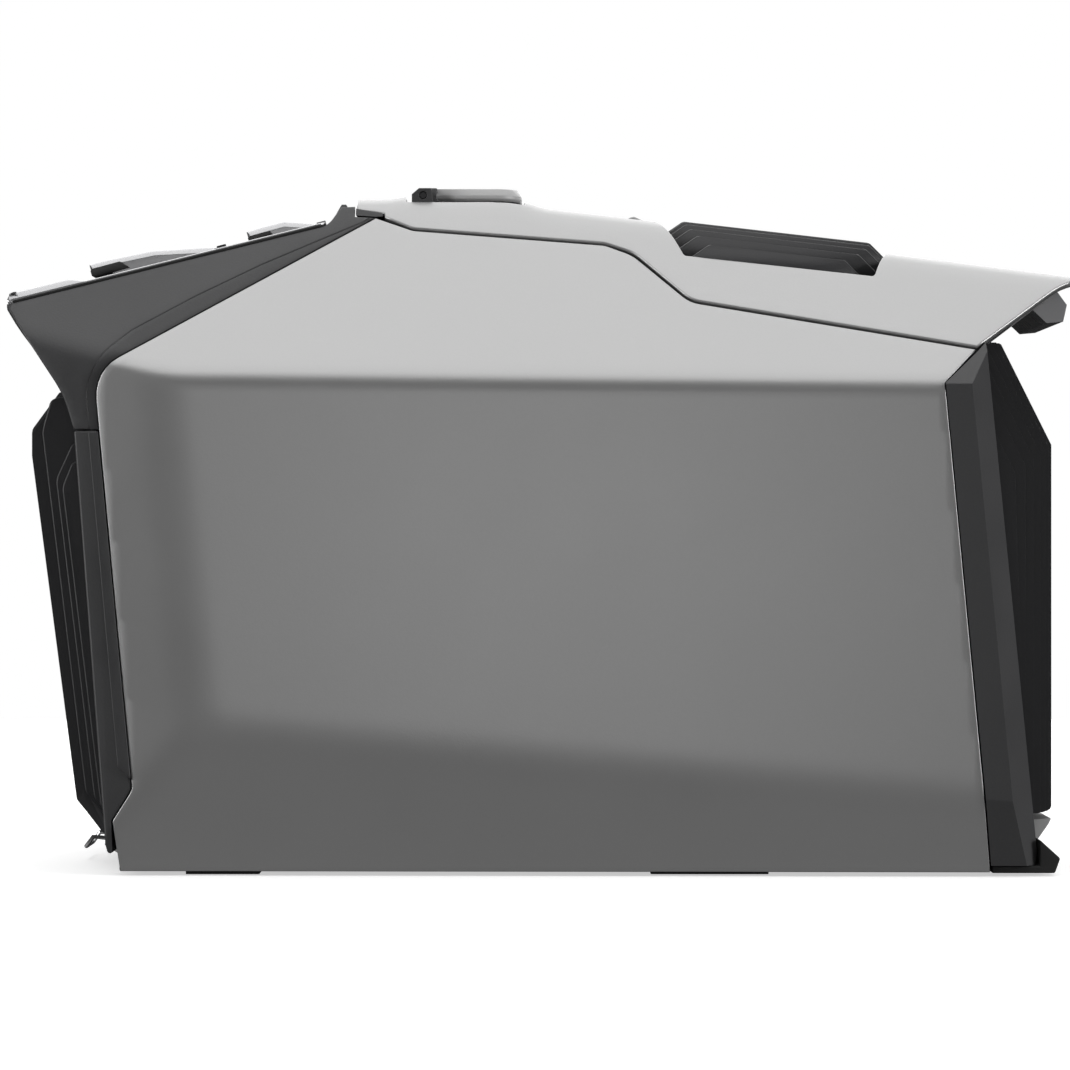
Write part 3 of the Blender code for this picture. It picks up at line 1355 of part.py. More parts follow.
def battery_bracket():
    """Folded steel bridge over the battery: it holds the modules and carries the electronics."""
    outer = MODULE_WIDTH / 2 + FIT + 0.0020
    top = SHELF + 0.0020
    base = FLOOR
    outline = [(-outer, base), (-outer, top), (outer, top), (outer, base), (outer - 0.002, base), (outer - 0.002, top - 0.002)]
    outline += [(-outer + 0.002, top - 0.002), (-outer + 0.002, base)]
    reach = MODULE_LENGTH + FIT
    bridge = prism("battery_bracket", outline, -reach, reach, "X")
    window = box("bracket_window_cut", (-reach + 0.03, -HALF, base + 0.025), (reach - 0.03, HALF, top - 0.025))
    return finish(cut(bridge, window), "steel")


BOARD = SHELF + 0.0020 + FIT


def inverter_board():
    board = box("inverter_board", (-0.115, -0.085, BOARD + 0.004), (0.115, 0.085, BOARD + 0.0056))
    posts = []
    for i, (x, y) in enumerate(((-0.105, -0.075), (0.105, -0.075), (-0.105, 0.075), (0.105, 0.075))):
        posts.append(cylinder(f"board_post_{i}", 0.003, (x, y, BOARD), (x, y, BOARD + 0.005), 10))
    return finish(join(board, *posts), "board")


def heatsink():
    """Finned extrusion on the inverter board."""
    base = BOARD + 0.0056 + FIT
    low, high = 0.012, 0.102
    outline = [(low, base), (low, base + 0.045)]
    fins, pitch, thick = 9, 0.0109, 0.0026
    for i in range(fins):
        start = low + i * pitch
        outline += [(start + thick, base + 0.045), (start + thick, base + 0.007)] if i < fins - 1 else []
        outline += [(start + pitch, base + 0.007), (start + pitch, base + 0.045)] if i < fins - 1 else []
    outline += [(low + (fins - 1) * pitch + thick, base + 0.045), (low + (fins - 1) * pitch + thick, base)]
    outline = outline[1:] + outline[:1]
    return finish(prism("heatsink", outline, -0.105, 0.105, "X"), "alloy")


def transformer():
    base = BOARD + 0.0056 + FIT
    core = box("transformer", (-0.060, -0.070, base), (-0.005, -0.018, base + 0.044))
    coil = cylinder("transformer_coil", 0.020, (-0.066, -0.044, base + 0.022), (0.001, -0.044, base + 0.022), 20)
    return finish(join(core, coil), "silver")


def control_board(empty):
    """Display and control electronics behind the plate."""
    top = -PLATE_THICKNESS - 0.0032
    board = box("control_board", (0.0105, -0.052, top - 0.0016), (0.0440, 0.052, top))
    posts = []
    for side in (-1, 1):
        start, end = (0.0370, side * 0.046, top - 0.001), (0.0370, side * 0.046, -PLATE_THICKNESS - FIT)
        post = cylinder(f"control_post_{side}", 0.0022, start, end, 10)
        posts.append(parent_to(post, empty))
    return parent_to(finish(join(board, *posts), "board"), empty)


FAN_Z = SHELF + 0.0020 + FIT + FAN_SIZE / 2
FAN_FACE = {"front": -MODULE_LENGTH + 0.0008, "rear": MODULE_LENGTH - 0.0008}


def fan_housing(name, face, direction):
    """Square fan frame on the bridge: a round duct with four struts to the motor seat."""
    half = FAN_SIZE / 2
    first, last = sorted((face, face - direction * FAN_DEPTH))
    frame = box(name, (first, -half, FAN_Z - half), (last, half, FAN_Z + half))
    duct = cylinder(f"{name}_duct", FAN_BORE, (first - 0.01, 0, FAN_Z), (last + 0.01, 0, FAN_Z), 28)
    inner = face - direction * FAN_DEPTH
    seat = cylinder(f"{name}_seat", 0.0150, (inner, 0, FAN_Z), (inner + direction * 0.003, 0, FAN_Z), 20)
    struts = []
    for i in range(2):
        low, high = sorted((inner, inner + direction * 0.003))
        strut = box(f"{name}_strut_{i}", (low, -FAN_BORE - 0.001, -0.0015), (high, FAN_BORE + 0.001, 0.0015))
        strut.data.transform(Matrix.Rotation(math.pi / 4 + i * math.pi / 2, 4, "X"))
        strut.data.transform(Matrix.Translation((0, 0, FAN_Z)))
        struts.append(strut)
    cut(frame, duct)
    join(frame, seat, *struts)
    return finish(frame, "black")


def fan_rotor(name, face, direction):
    """Hub and pitched blades."""
    middle = face - direction * (FAN_DEPTH / 2 - 0.0015)
    half_depth = 0.0085
    hub = cylinder(name, 0.0165, (middle - half_depth, 0, FAN_Z), (middle + half_depth, 0, FAN_Z), 21)
    spindle_end = face - direction * (FAN_DEPTH - 0.003 - FIT)
    spindle = cylinder(f"{name}_spindle", 0.004, (middle, 0, FAN_Z), (spindle_end, 0, FAN_Z), 12)
    blades = []
    for i in range(FAN_BLADES):
        blade = box(f"{name}_blade_{i}", (-0.0005, -0.0095, 0.0155), (0.0009, 0.0095, FAN_BORE - 0.0016))
        blade.data.transform(Matrix.Rotation(math.radians(38), 4, "Z"))
        blade.data.transform(Matrix.Rotation(2 * math.pi * i / FAN_BLADES, 4, "X"))
        blade.data.transform(Matrix.Translation((middle, 0, FAN_Z)))
        blades.append(blade)
    join(hub, spindle, *blades)
    for piece in (hub, spindle, *blades):
        pivot_at(piece, (middle, 0, FAN_Z))
    return finish(hub, "black")


# ---------------------------------------------------------------- assembly


def build():
    clear_scene()
    panel, tail = panel_frame(), tail_frame()
    side_shell("side_shell_right", -1)
    side_shell("side_shell_left", 1)
    top_cover()
    console_housing()
    console_trim()
    seam_strip("seam_strip_right", -1)
    seam_strip("seam_strip_left", 1)
    front_frame()
    rear_frame()
    base_tray()
    panel_plate(panel)
    panel_seal(panel)
    display_lens(panel)
    control_board(panel)
    for (name, hinge, barrel_half), half in zip(FLAPS, (AC_FLAP_HALF, DC_FLAP_HALF)):
        flap(name, panel, half, hinge, barrel_half)
        flap_pin(name, panel, hinge, barrel_half)
    for index in range(4):
        ac_outlet(panel, index)
    usb_module(panel, "usb_a_ports", -1, 2, (0.0052, 0.0126))
    usb_module(panel, "usb_c_ports", 1, 2, (0.0034, 0.0092))
    car_socket(panel)
    square_button(panel, "ac_button", -1)
    square_button(panel, "dc_button", 1)
    power_button(panel)
    front_vent()
    rear_vent()
    top_vent()
    top_vent_latch()
    handle_bed()
    handle()
    handle_rod()
    tail_panel(tail)
    input_door(tail)
    input_bay(tail)
    input_pin(tail)
    ac_inlet(tail)
    solar_inlet(tail)
    for end, (first, length) in FEET.items():
        foot(f"foot_{end}_right", first, length, -1)
        foot(f"foot_{end}_left", first, length, 1)
    rear_bumper("rear_bumper_right", -1)
    rear_bumper("rear_bumper_left", 1)
    front_catch()
    front_bail()
    rear_lip()
    battery_module("battery_module_front", -1)
    battery_module("battery_module_rear", 1)
    battery_bracket()
    inverter_board()
    heatsink()
    transformer()
    for end, direction in (("front", -1), ("rear", 1)):
        fan_housing(f"fan_housing_{end}", FAN_FACE[end], direction)
        fan_rotor(f"fan_rotor_{end}", FAN_FACE[end], direction)


build()
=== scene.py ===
"""Looks of the power station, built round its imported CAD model.

Metres, +Z up, -X the front, -Y the near flank.
"""

import json
import math

import bmesh
import bpy
import numpy as np
from mathutils import Matrix, Vector
from mathutils.geometry import delaunay_2d_cdt


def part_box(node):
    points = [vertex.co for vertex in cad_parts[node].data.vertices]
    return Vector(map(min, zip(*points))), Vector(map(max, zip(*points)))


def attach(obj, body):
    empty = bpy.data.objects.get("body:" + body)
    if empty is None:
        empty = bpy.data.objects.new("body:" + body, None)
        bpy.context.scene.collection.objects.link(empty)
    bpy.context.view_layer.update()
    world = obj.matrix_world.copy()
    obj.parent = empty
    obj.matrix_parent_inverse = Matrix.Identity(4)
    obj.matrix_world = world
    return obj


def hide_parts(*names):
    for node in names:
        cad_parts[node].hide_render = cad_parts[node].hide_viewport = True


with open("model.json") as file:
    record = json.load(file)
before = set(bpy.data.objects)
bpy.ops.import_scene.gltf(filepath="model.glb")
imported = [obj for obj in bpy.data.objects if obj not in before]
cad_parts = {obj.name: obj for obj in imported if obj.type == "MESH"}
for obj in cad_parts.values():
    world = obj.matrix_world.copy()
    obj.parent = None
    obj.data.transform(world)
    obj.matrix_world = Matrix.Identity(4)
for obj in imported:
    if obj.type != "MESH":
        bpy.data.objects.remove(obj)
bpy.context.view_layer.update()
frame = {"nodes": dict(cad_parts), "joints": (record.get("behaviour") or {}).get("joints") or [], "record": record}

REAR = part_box("top_cover")[1].x
FRONT = -REAR
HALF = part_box("side_shell_left")[1].y
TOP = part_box("handle")[1].z
WALL = 0.003
FIT = 0.0003
SHUT_LINE = 0.0014
FLANK_TILT = math.radians(40)
SILL_TILT = math.radians(11)
NOSE_TILT = math.radians(12)


# ---------------------------------------------------------------- measures


def front(back, down):
    return (FRONT + back, TOP - down)


def front_low(back, up):
    return (FRONT + back, up)


def rear(ahead, down):
    return (REAR - ahead, TOP - down)


def rear_low(ahead, up):
    return (REAR - ahead, up)


SHOULDER_FOLD = (front(0.047, 0.0944), rear(0.065, 0.0986))
SILL_FOLD = (front_low(0.062, 0.0736), rear_low(0.047, 0.0369))
NOSE_FOLD = (front_low(0.098, 0.037), front(0.0771, 0.097))
NECK = front(0.0351, 0.120)
NECK_BACK = front(0.0474, 0.120)
HIP = front(0.0450, 0.0927)
HIP_RADIUS = 0.023
BROW = front(0.1758, 0.016)
SEAM_CREST = front(0.1939, 0.0225)
SEAM_BEND = rear(0.2242, 0.030)
SEAM_FALL = rear(0.2112, 0.035)
SEAM_FOOT = rear(0.1841, 0.0587)
TAIL_SEAM = rear(0.0495, 0.0819)
TAIL_HEEL = rear(0.0653, 0.0981)
TAIL_TIP = rear(0.0, 0.0455)
HEEL_FRONT = rear_low(0.0434, 0.002)
TOE = front_low(0.0567, 0.002)


def rounded(corners, steps=6):
    """An outline whose corners (u, v, radius) are rounded with arcs; a corner of two numbers stays sharp."""
    points = []
    count = len(corners)
    for i, corner in enumerate(corners):
        here = Vector(corner[:2])
        radius = corner[2] if len(corner) > 2 else 0.0
        back = Vector(corners[i - 1][:2]) - here
        on = Vector(corners[(i + 1) % count][:2]) - here
        half = back.angle(on) / 2
        reach = min(radius / math.tan(half), 0.48 * min(back.length, on.length)) if radius else 0.0
        if reach <= 0:
            points.append(tuple(here))
            continue
        radius = reach * math.tan(half)
        centre = here + (back.normalized() + on.normalized()).normalized() * radius / math.sin(half)
        start = here + back.normalized() * reach - centre
        end = here + on.normalized() * reach - centre
        turn = start.angle_signed(end)
        for step in range(steps + 1):
            angle = -turn * step / steps
            cos, sin = math.cos(angle), math.sin(angle)
            across, up = start.x * cos - start.y * sin, start.x * sin + start.y * cos
            points.append((centre.x + across, centre.y + up))
    return points


def soft_min(a, b, k):
    """The lesser of two heights, with the corner between them rounded over k."""
    h = max(k - abs(a - b), 0.0) / k
    return min(a, b) - h * h * k / 4


def along(fold, value, axis):
    """The fold line's other coordinate at a value of X (axis 0) or Z (axis 1)."""
    a, b = fold
    share = (value - a[axis]) / (b[axis] - a[axis])
    return a[1 - axis] + (b[1 - axis] - a[1 - axis]) * share


def flank(x, z):
    """Half the width of the folded flank at a point of the side view."""
    half = HALF
    half = soft_min(half, HALF - (x - along(NOSE_FOLD, z, 1)) * -math.tan(NOSE_TILT), 0.0030)
    half = soft_min(half, HALF - (along(SILL_FOLD, x, 0) - z) * math.tan(SILL_TILT), 0.0022)
    return soft_min(half, HALF - (z - along(SHOULDER_FOLD, x, 0)) * math.tan(FLANK_TILT), 0.0044)


def shoulder_half(x, z):
    return HALF - max(0.0, z - along(SHOULDER_FOLD, x, 0)) * math.tan(FLANK_TILT)


# ---------------------------------------------------------------- meshes


def add_object(name, bm, smooth=True):
    mesh = bpy.data.meshes.new(name)
    bmesh.ops.recalc_face_normals(bm, faces=bm.faces)
    bm.to_mesh(mesh)
    bm.free()
    if smooth:
        mesh.shade_smooth()
    obj = bpy.data.objects.new(name, mesh)
    bpy.context.scene.collection.objects.link(obj)
    return obj


def resample(loop, pitch):
    """The closed outline with points added so that no side is longer than pitch."""
    points = []
    for i, a in enumerate(loop):
        b = loop[(i + 1) % len(loop)]
        count = max(1, math.ceil(math.dist(a, b) / pitch))
        points += [(a[0] + (b[0] - a[0]) * k / count, a[1] + (b[1] - a[1]) * k / count) for k in range(count)]
    return [p for i, p in enumerate(points) if math.dist(p, points[i - 1]) > 1e-6]


def resample_open(line, pitch):
    """The open line with points added so that no step is longer than pitch."""
    points = [line[0]]
    for a, b in zip(line, line[1:]):
        count = max(1, math.ceil(math.dist(a, b) / pitch))
        run, rise = b[0] - a[0], b[1] - a[1]
        points += [(a[0] + run * k / count, a[1] + rise * k / count) for k in range(1, count + 1)]
    return [points[0]] + [b for a, b in zip(points, points[1:]) if math.dist(a, b) > 1e-6]


def area(loop):
    return sum(a[0] * b[1] - b[0] * a[1] for a, b in zip(loop, loop[1:] + loop[:1])) / 2


def inward(loop, distance):
    """The outline moved to its left by distance."""
    moved = []
    for i, here in enumerate(loop):
        before, after = loop[i - 1], loop[(i + 1) % len(loop)]
        one = Vector((here[0] - before[0], here[1] - before[1])).normalized()
        two = Vector((after[0] - here[0], after[1] - here[1])).normalized()
        left = Vector((-(one.y + two.y), one.x + two.x))
        if left.length < 1e-9:
            left = Vector((-one.y, one.x))
        left.normalize()
        reach = distance / max(0.35, left.dot(Vector((-one.y, one.x))))
        moved.append((here[0] + left.x * reach, here[1] + left.y * reach))
    return moved


def inside(points, loops):
    """Which points lie inside the first loop and outside the others."""
    result = np.zeros(len(points), bool)
    for loop in loops:
        a = np.array(loop)
        b = np.roll(a, -1, axis=0)
        x, y = points[:, 0][:, None], points[:, 1][:, None]
        crosses = (a[:, 1] > y) != (b[:, 1] > y)
        with np.errstate(divide="ignore", invalid="ignore"):
            at = a[:, 0] + (y - a[:, 1]) * (b[:, 0] - a[:, 0]) / (b[:, 1] - a[:, 1])
        result ^= (np.sum(crosses & (x < at), axis=1) % 2).astype(bool)
    return result


def clear_of(points, loops, distance):
    """Which points are at least distance from every loop."""
    keep = np.ones(len(points), bool)
    for loop in loops:
        a = np.array(loop)
        d = np.roll(a, -1, axis=0) - a
        length = np.maximum((d**2).sum(1), 1e-18)
        for start in range(0, len(points), 4000):
            p = points[start : start + 4000]
            t = np.clip(((p[:, None, :] - a) * d).sum(2) / length, 0, 1)
            gap = np.sqrt((((a + t[..., None] * d) - p[:, None, :]) ** 2).sum(2)).min(1)
            keep[start : start + 4000] &= gap > distance
    return keep


def lofted(name, stations, sections):
    """A closed solid through sections of equal length, one at each station's matrix."""
    bm = bmesh.new()
    rings = [[bm.verts.new(m @ Vector((*p, 0))) for p in section] for m, section in zip(stations, sections)]
    for a, b in zip(rings, rings[1:]):
        for i in range(len(a)):
            j = (i + 1) % len(a)
            bm.faces.new([a[i], a[j], b[j], b[i]])
    bm.faces.new(rings[0])
    bm.faces.new(rings[-1])
    return add_object(name, bm)


def skin(name, loops, surface, wall, radius, pitch, steps=4):
    """A closed moulded skin over a surface, with every rim rounded.

    loops[0] is its outline and the others are its openings.
    """

    def place(u, v, drop):
        e = 0.0004
        p = surface(u, v)
        normal = (surface(u + e, v) - surface(u - e, v)).cross(surface(u, v + e) - surface(u, v - e))
        return p - normal.normalized() * drop

    borders = []
    for i, loop in enumerate(loops):
        loop = resample(loop, pitch)
        if (area(loop) > 0) != (i == 0):
            loop.reverse()
        borders.append(loop)
    bm = bmesh.new()
    rims = []
    for loop in borders:
        rings = []
        for k in range(steps + 1):
            angle = math.pi / 2 * k / steps
            ring = inward(loop, radius * (1 - math.cos(angle)))
            rings.append((ring, radius * (1 - math.sin(angle))))
        rims.append(rings)
    inner_loops = [rings[-1][0] for rings in rims]
    lows, highs = np.array(borders[0]).min(0), np.array(borders[0]).max(0)
    us = np.arange(lows[0] + pitch / 2, highs[0], pitch)
    vs = np.arange(lows[1] + pitch / 2, highs[1], pitch)
    grid = np.array([(u, v) for u in us for v in vs])
    grid = grid[inside(grid, inner_loops)]
    grid = grid[clear_of(grid, inner_loops, pitch * 0.55)]
    points = [Vector(p) for loop in inner_loops for p in loop]
    edges, start = [], 0
    for loop in inner_loops:
        edges += [(start + i, start + (i + 1) % len(loop)) for i in range(len(loop))]
        start += len(loop)
    points += [Vector(p) for p in grid]
    out = delaunay_2d_cdt(points, edges, [], 1, 1e-7)
    places, faces, sources = out[0], out[2], out[3]
    centres = []
    for f in faces:
        centres.append([sum(places[i].x for i in f) / len(f), sum(places[i].y for i in f) / len(f)])
    good = inside(np.array(centres), inner_loops)
    outer = [bm.verts.new(place(p.x, p.y, 0)) for p in places]
    under = [bm.verts.new(place(p.x, p.y, wall)) for p in places]
    for f, ok in zip(faces, good):
        if ok:
            bm.faces.new([outer[i] for i in f])
            bm.faces.new([under[i] for i in reversed(f)])
    index = {}
    for new, olds in enumerate(sources):
        for old in olds:
            index[old] = new
    start = 0
    for rings in rims:
        count = len(rings[0][0])
        last = [index[start + i] for i in range(count)]
        start += count
        rows = [[bm.verts.new(place(u, v, drop)) for u, v in ring] for ring, drop in rings[:-1]]
        rows.append([outer[i] for i in last])
        foot = [bm.verts.new(place(u, v, wall)) for u, v in rings[0][0]]
        rows = [[under[i] for i in last], foot] + rows
        for low, high in zip(rows, rows[1:]):
            for i in range(count):
                j = (i + 1) % count
                bm.faces.new([low[i], low[j], high[j], high[i]])
    return add_object(name, bm)


# ---------------------------------------------------------------- materials


def pipe(tree, kind, **values):
    node = tree.nodes.new(kind)
    for key, value in values.items():
        if key in node.inputs:
            node.inputs[key].default_value = value
        else:
            setattr(node, key, value)
    return node


def moulded(
    name,
    color,
    roughness,
    grain=900.0,
    bump=0.12,
    vary=0.06,
    wear=0.10,
    metallic=0.0,
    coat=0.0,
    specular=0.5,
    patchy=0.05,
):
    """Moulded or painted surface: fine grain, cloudy colour and roughness, edges rubbed lighter."""
    material = bpy.data.materials.new(name)
    material.use_nodes = True
    tree = material.node_tree
    shader = tree.nodes["Principled BSDF"]
    shader.inputs["Metallic"].default_value = metallic
    shader.inputs["Coat Weight"].default_value = coat
    shader.inputs["Coat Roughness"].default_value = 0.12
    shader.inputs["Specular IOR Level"].default_value = specular
    link = tree.links.new
    where = pipe(tree, "ShaderNodeTexCoord").outputs["Object"]
    fine = pipe(tree, "ShaderNodeTexNoise", Scale=grain, Detail=3.0, Roughness=0.6)
    cloud = pipe(tree, "ShaderNodeTexNoise", Scale=23.0, Detail=4.0, Roughness=0.55)
    link(where, fine.inputs["Vector"])
    link(where, cloud.inputs["Vector"])
    both = pipe(tree, "ShaderNodeMix", data_type="FLOAT")
    both.inputs["Factor"].default_value = 0.45
    link(fine.outputs["Fac"], both.inputs["A"])
    link(cloud.outputs["Fac"], both.inputs["B"])
    shade = pipe(tree, "ShaderNodeMapRange")
    shade.inputs["From Min"].default_value, shade.inputs["From Max"].default_value = 0.3, 0.7
    shade.inputs["To Min"].default_value, shade.inputs["To Max"].default_value = 1 - vary, 1 + vary
    link(both.outputs["Result"], shade.inputs["Value"])
    tint = pipe(tree, "ShaderNodeMix", data_type="RGBA", blend_type="MULTIPLY")
    tint.inputs["Factor"].default_value = 1.0
    tint.inputs["A"].default_value = (*color, 1)
    link(shade.outputs["Result"], tint.inputs["B"])
    edge = pipe(tree, "ShaderNodeNewGeometry").outputs["Pointiness"]
    rubbed = pipe(tree, "ShaderNodeMapRange")
    rubbed.inputs["From Min"].default_value, rubbed.inputs["From Max"].default_value = 0.53, 0.62
    rubbed.inputs["To Max"].default_value = wear
    link(edge, rubbed.inputs["Value"])
    worn = pipe(tree, "ShaderNodeMix", data_type="RGBA")
    link(rubbed.outputs["Result"], worn.inputs["Factor"])
    link(tint.outputs["Result"], worn.inputs["A"])
    worn.inputs["B"].default_value = (*[min(1.0, c * 1.8 + 0.05) for c in color], 1)
    link(worn.outputs["Result"], shader.inputs["Base Color"])
    rough = pipe(tree, "ShaderNodeMapRange")
    rough.inputs["From Min"].default_value, rough.inputs["From Max"].default_value = 0.3, 0.7
    rough.inputs["To Min"].default_value = max(0.02, roughness - patchy)
    rough.inputs["To Max"].default_value = roughness + patchy
    link(cloud.outputs["Fac"], rough.inputs["Value"])
    link(rough.outputs["Result"], shader.inputs["Roughness"])
    relief = pipe(tree, "ShaderNodeBump", Strength=bump, Distance=0.0004)
    link(fine.outputs["Fac"], relief.inputs["Height"])
    link(relief.outputs["Normal"], shader.inputs["Normal"])
    return material


LOOKS = {
    "shell": moulded(
        "shell_paint", (0.47, 0.47, 0.47), 0.36, 1100, 0.10, 0.02, 0.15, metallic=0.65, patchy=0.008
    ),
    "dark": moulded("dark_plastic", (0.056, 0.056, 0.058), 0.42, 1000, 0.14, 0.08, 0.10),
    "black": moulded("black_plastic", (0.024, 0.024, 0.026), 0.40, 1000, 0.12, 0.10, 0.45),
    "gloss": moulded(
        "gloss_plastic", (0.50, 0.50, 0.51), 0.27, 1300, 0.008, 0.03, 0.10, 0.7, 0.3, patchy=0.01
    ),
    "glass": moulded("smoked_glass", (0.010, 0.011, 0.012), 0.07, 600, 0.01, 0.05, 0.02, coat=0.8),
    "rubber": moulded("rubber", (0.018, 0.018, 0.018), 0.75, 700, 0.25, 0.12, 0.08),
    "steel": moulded("steel", (0.56, 0.56, 0.57), 0.28, 500, 0.05, 0.05, 0.10, metallic=1.0),
    "alloy": moulded("bare_alloy", (0.66, 0.66, 0.68), 0.36, 500, 0.08, 0.05, 0.10, metallic=1.0),
    "silver": moulded("pale_plastic", (0.52, 0.52, 0.52), 0.35, 1000, 0.08, 0.04, 0.12),
    "cell": moulded("cell_sleeve", (0.05, 0.15, 0.32), 0.40, 400, 0.10, 0.06, 0.10),
    "board": moulded("circuit_board", (0.02, 0.15, 0.07), 0.38, 350, 0.15, 0.12, 0.08),
}


def wear(obj, look):
    obj.data.materials.clear()
    obj.data.materials.append(LOOKS[look])


def piece(obj, look, body="chassis", replaces=()):
    wear(obj, look)
    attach(obj, body)
    if replaces:
        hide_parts(*replaces)
    return obj


# ---------------------------------------------------------------- carried-over CAD nodes

SLOT_OF = {row["node"]: row["material_slot"] for row in frame["record"]["subparts"]}
for name, node in frame["nodes"].items():
    wear(node, "black" if name == "handle_rod" else SLOT_OF[name])
    if "custom_normal" in node.data.attributes:
        node.data.attributes.remove(node.data.attributes["custom_normal"])
    node.data.shade_smooth()
    weld = node.modifiers.new("Weld", "WELD")
    weld.merge_threshold = 0.00002
    bevel = node.modifiers.new("Bevel", "BEVEL")
    bevel.width = 0.0005
    bevel.segments = 2
    bevel.limit_method = "ANGLE"
    bevel.angle_limit = math.radians(28)
    bevel.harden_normals = False
    node.modifiers.new("Shading", "WEIGHTED_NORMAL")


# ---------------------------------------------------------------- casing


def side_outline():
    return rounded(
        [
            TOE,
            (*front_low(0.0534, 0.026), 0.003),
            (*front_low(0.0630, 0.041), 0.006),
            NECK_BACK,
            (*HIP, HIP_RADIUS),
            BROW,
            (*SEAM_CREST, 0.012),
            (*SEAM_BEND, 0.016),
            (*SEAM_FALL, 0.020),
            (*SEAM_FOOT, 0.016),
            TAIL_SEAM,
            (*TAIL_HEEL, 0.003),
            HEEL_FRONT,
        ]
    )


def side_shell(side, word):
    def surface(x, z):
        return Vector((x, side * flank(x, z), z)) if side < 0 else Vector((-x, side * flank(-x, z), z))

    outline = side_outline()
    if side > 0:
        outline = [(-x, z) for x, z in outline]
    obj = skin(f"shell_{word}", [outline], surface, WALL, 0.0004, 0.0034, steps=3)
    return piece(obj, "shell", replaces=(f"side_shell_{word}",))


side_shell(-1, "right")
side_shell(1, "left")

COVER_TOP = [
    front(0.1665, 0.006),
    front(0.1835, 0.006),
    front(0.1905, 0.004),
    front(0.2405, 0.004),
    front(0.2565, 0.0105),
    rear(0.204, 0.0167),
    rear(0.080, 0.0348),
    TAIL_TIP,
]


def ridge_line(points, x, soft):
    """Height of a broken line at x, averaged over soft to both sides."""
    xs, zs = [p[0] for p in points], [p[1] for p in points]
    samples = np.linspace(x - soft, x + soft, 9)
    return float(np.interp(samples, xs, zs).mean())


def roof(x, y):
    top = ridge_line(COVER_TOP, x, 0.005)
    shoulder = along(SHOULDER_FOLD, x, 0) + (HALF - abs(y)) / math.tan(FLANK_TILT)
    return Vector((x, y, soft_min(top, shoulder, 0.010)))


def roof_outline():
    side = [
        (COVER_TOP[0][0], BROW[1] + 0.0053),
        (BROW[0] + 0.0040, BROW[1] + 0.0028),
        (BROW[0] + 0.0045, BROW[1] + 0.0006),
    ]
    seam = rounded(
        [
            side[-1],
            (SEAM_CREST[0], SEAM_CREST[1] + SHUT_LINE, 0.012),
            (SEAM_BEND[0], SEAM_BEND[1] + SHUT_LINE, 0.016),
            (SEAM_FALL[0] + 0.0008, SEAM_FALL[1] + SHUT_LINE * 1.2, 0.020),
            (SEAM_FOOT[0] + 0.0006, SEAM_FOOT[1] + SHUT_LINE * 1.05, 0.016),
            (TAIL_SEAM[0] + 0.0009, TAIL_SEAM[1] + SHUT_LINE),
            TAIL_TIP,
            (REAR, 0),
            (side[-1][0], 0),
        ]
    )[1:-2]
    line = side + seam
    right = [(x, -shoulder_half(x, z)) for x, z in line]
    return right + [(x, -y) for x, y in reversed(right)]


vent_low, vent_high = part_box("top_vent")
VENT_FRONT_HALF = 0.0825
VENT_REAR_HALF = 0.0905
VENT_NARROW = 0.062
VENT_CORNER = 0.013
first, last = vent_low.x - FIT, vent_high.x + FIT
vent_hole = [
    (first, -VENT_NARROW, 0.002),
    (first + VENT_CORNER, -VENT_FRONT_HALF, 0.002),
    (last - VENT_CORNER, -VENT_REAR_HALF, 0.002),
    (last, -VENT_NARROW, 0.002),
    (last, VENT_NARROW, 0.002),
    (last - VENT_CORNER, VENT_REAR_HALF, 0.002),
    (first + VENT_CORNER, VENT_FRONT_HALF, 0.002),
    (first, VENT_NARROW, 0.002),
]
bed_low, bed_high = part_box("handle_bed")
gap = FIT + 0.0002
handle_hole = [
    (bed_low.x - gap, bed_low.y - gap, 0.002),
    (bed_high.x + gap, bed_low.y - gap, 0.002),
    (bed_high.x + gap, bed_high.y + gap, 0.002),
    (bed_low.x - gap, bed_high.y + gap, 0.002),
]
roof_loops = [roof_outline(), rounded(vent_hole), rounded(handle_hole)]
roof_obj = skin("roof", roof_loops, roof, WALL, 0.0008, 0.0034)
piece(roof_obj, "shell", replaces=("top_cover",))

# ---------------------------------------------------------------- roof vent

ROOF_RIBS = 17
RIB_SPREAD = 0.0795
RIB_CREST = ((vent_low.x + 0.0137, vent_high.z - 0.0007), (vent_low.x + 0.1052, vent_high.z - 0.0112))
PAN_DEPTH = 0.026
LEVEL_HALF = 0.030  # the slats are all level out to here
FALL_RUN = RIB_SPREAD - LEVEL_HALF
SHORT_FRONT = 0.0110  # how much the outermost slat loses at its front, its rear and its height
SHORT_REAR = 0.0150
RIB_DROP = 0.0135


def crest(x):
    (x0, z0), (x1, z1) = RIB_CREST
    return z0 + (z1 - z0) * (x - x0) / (x1 - x0)


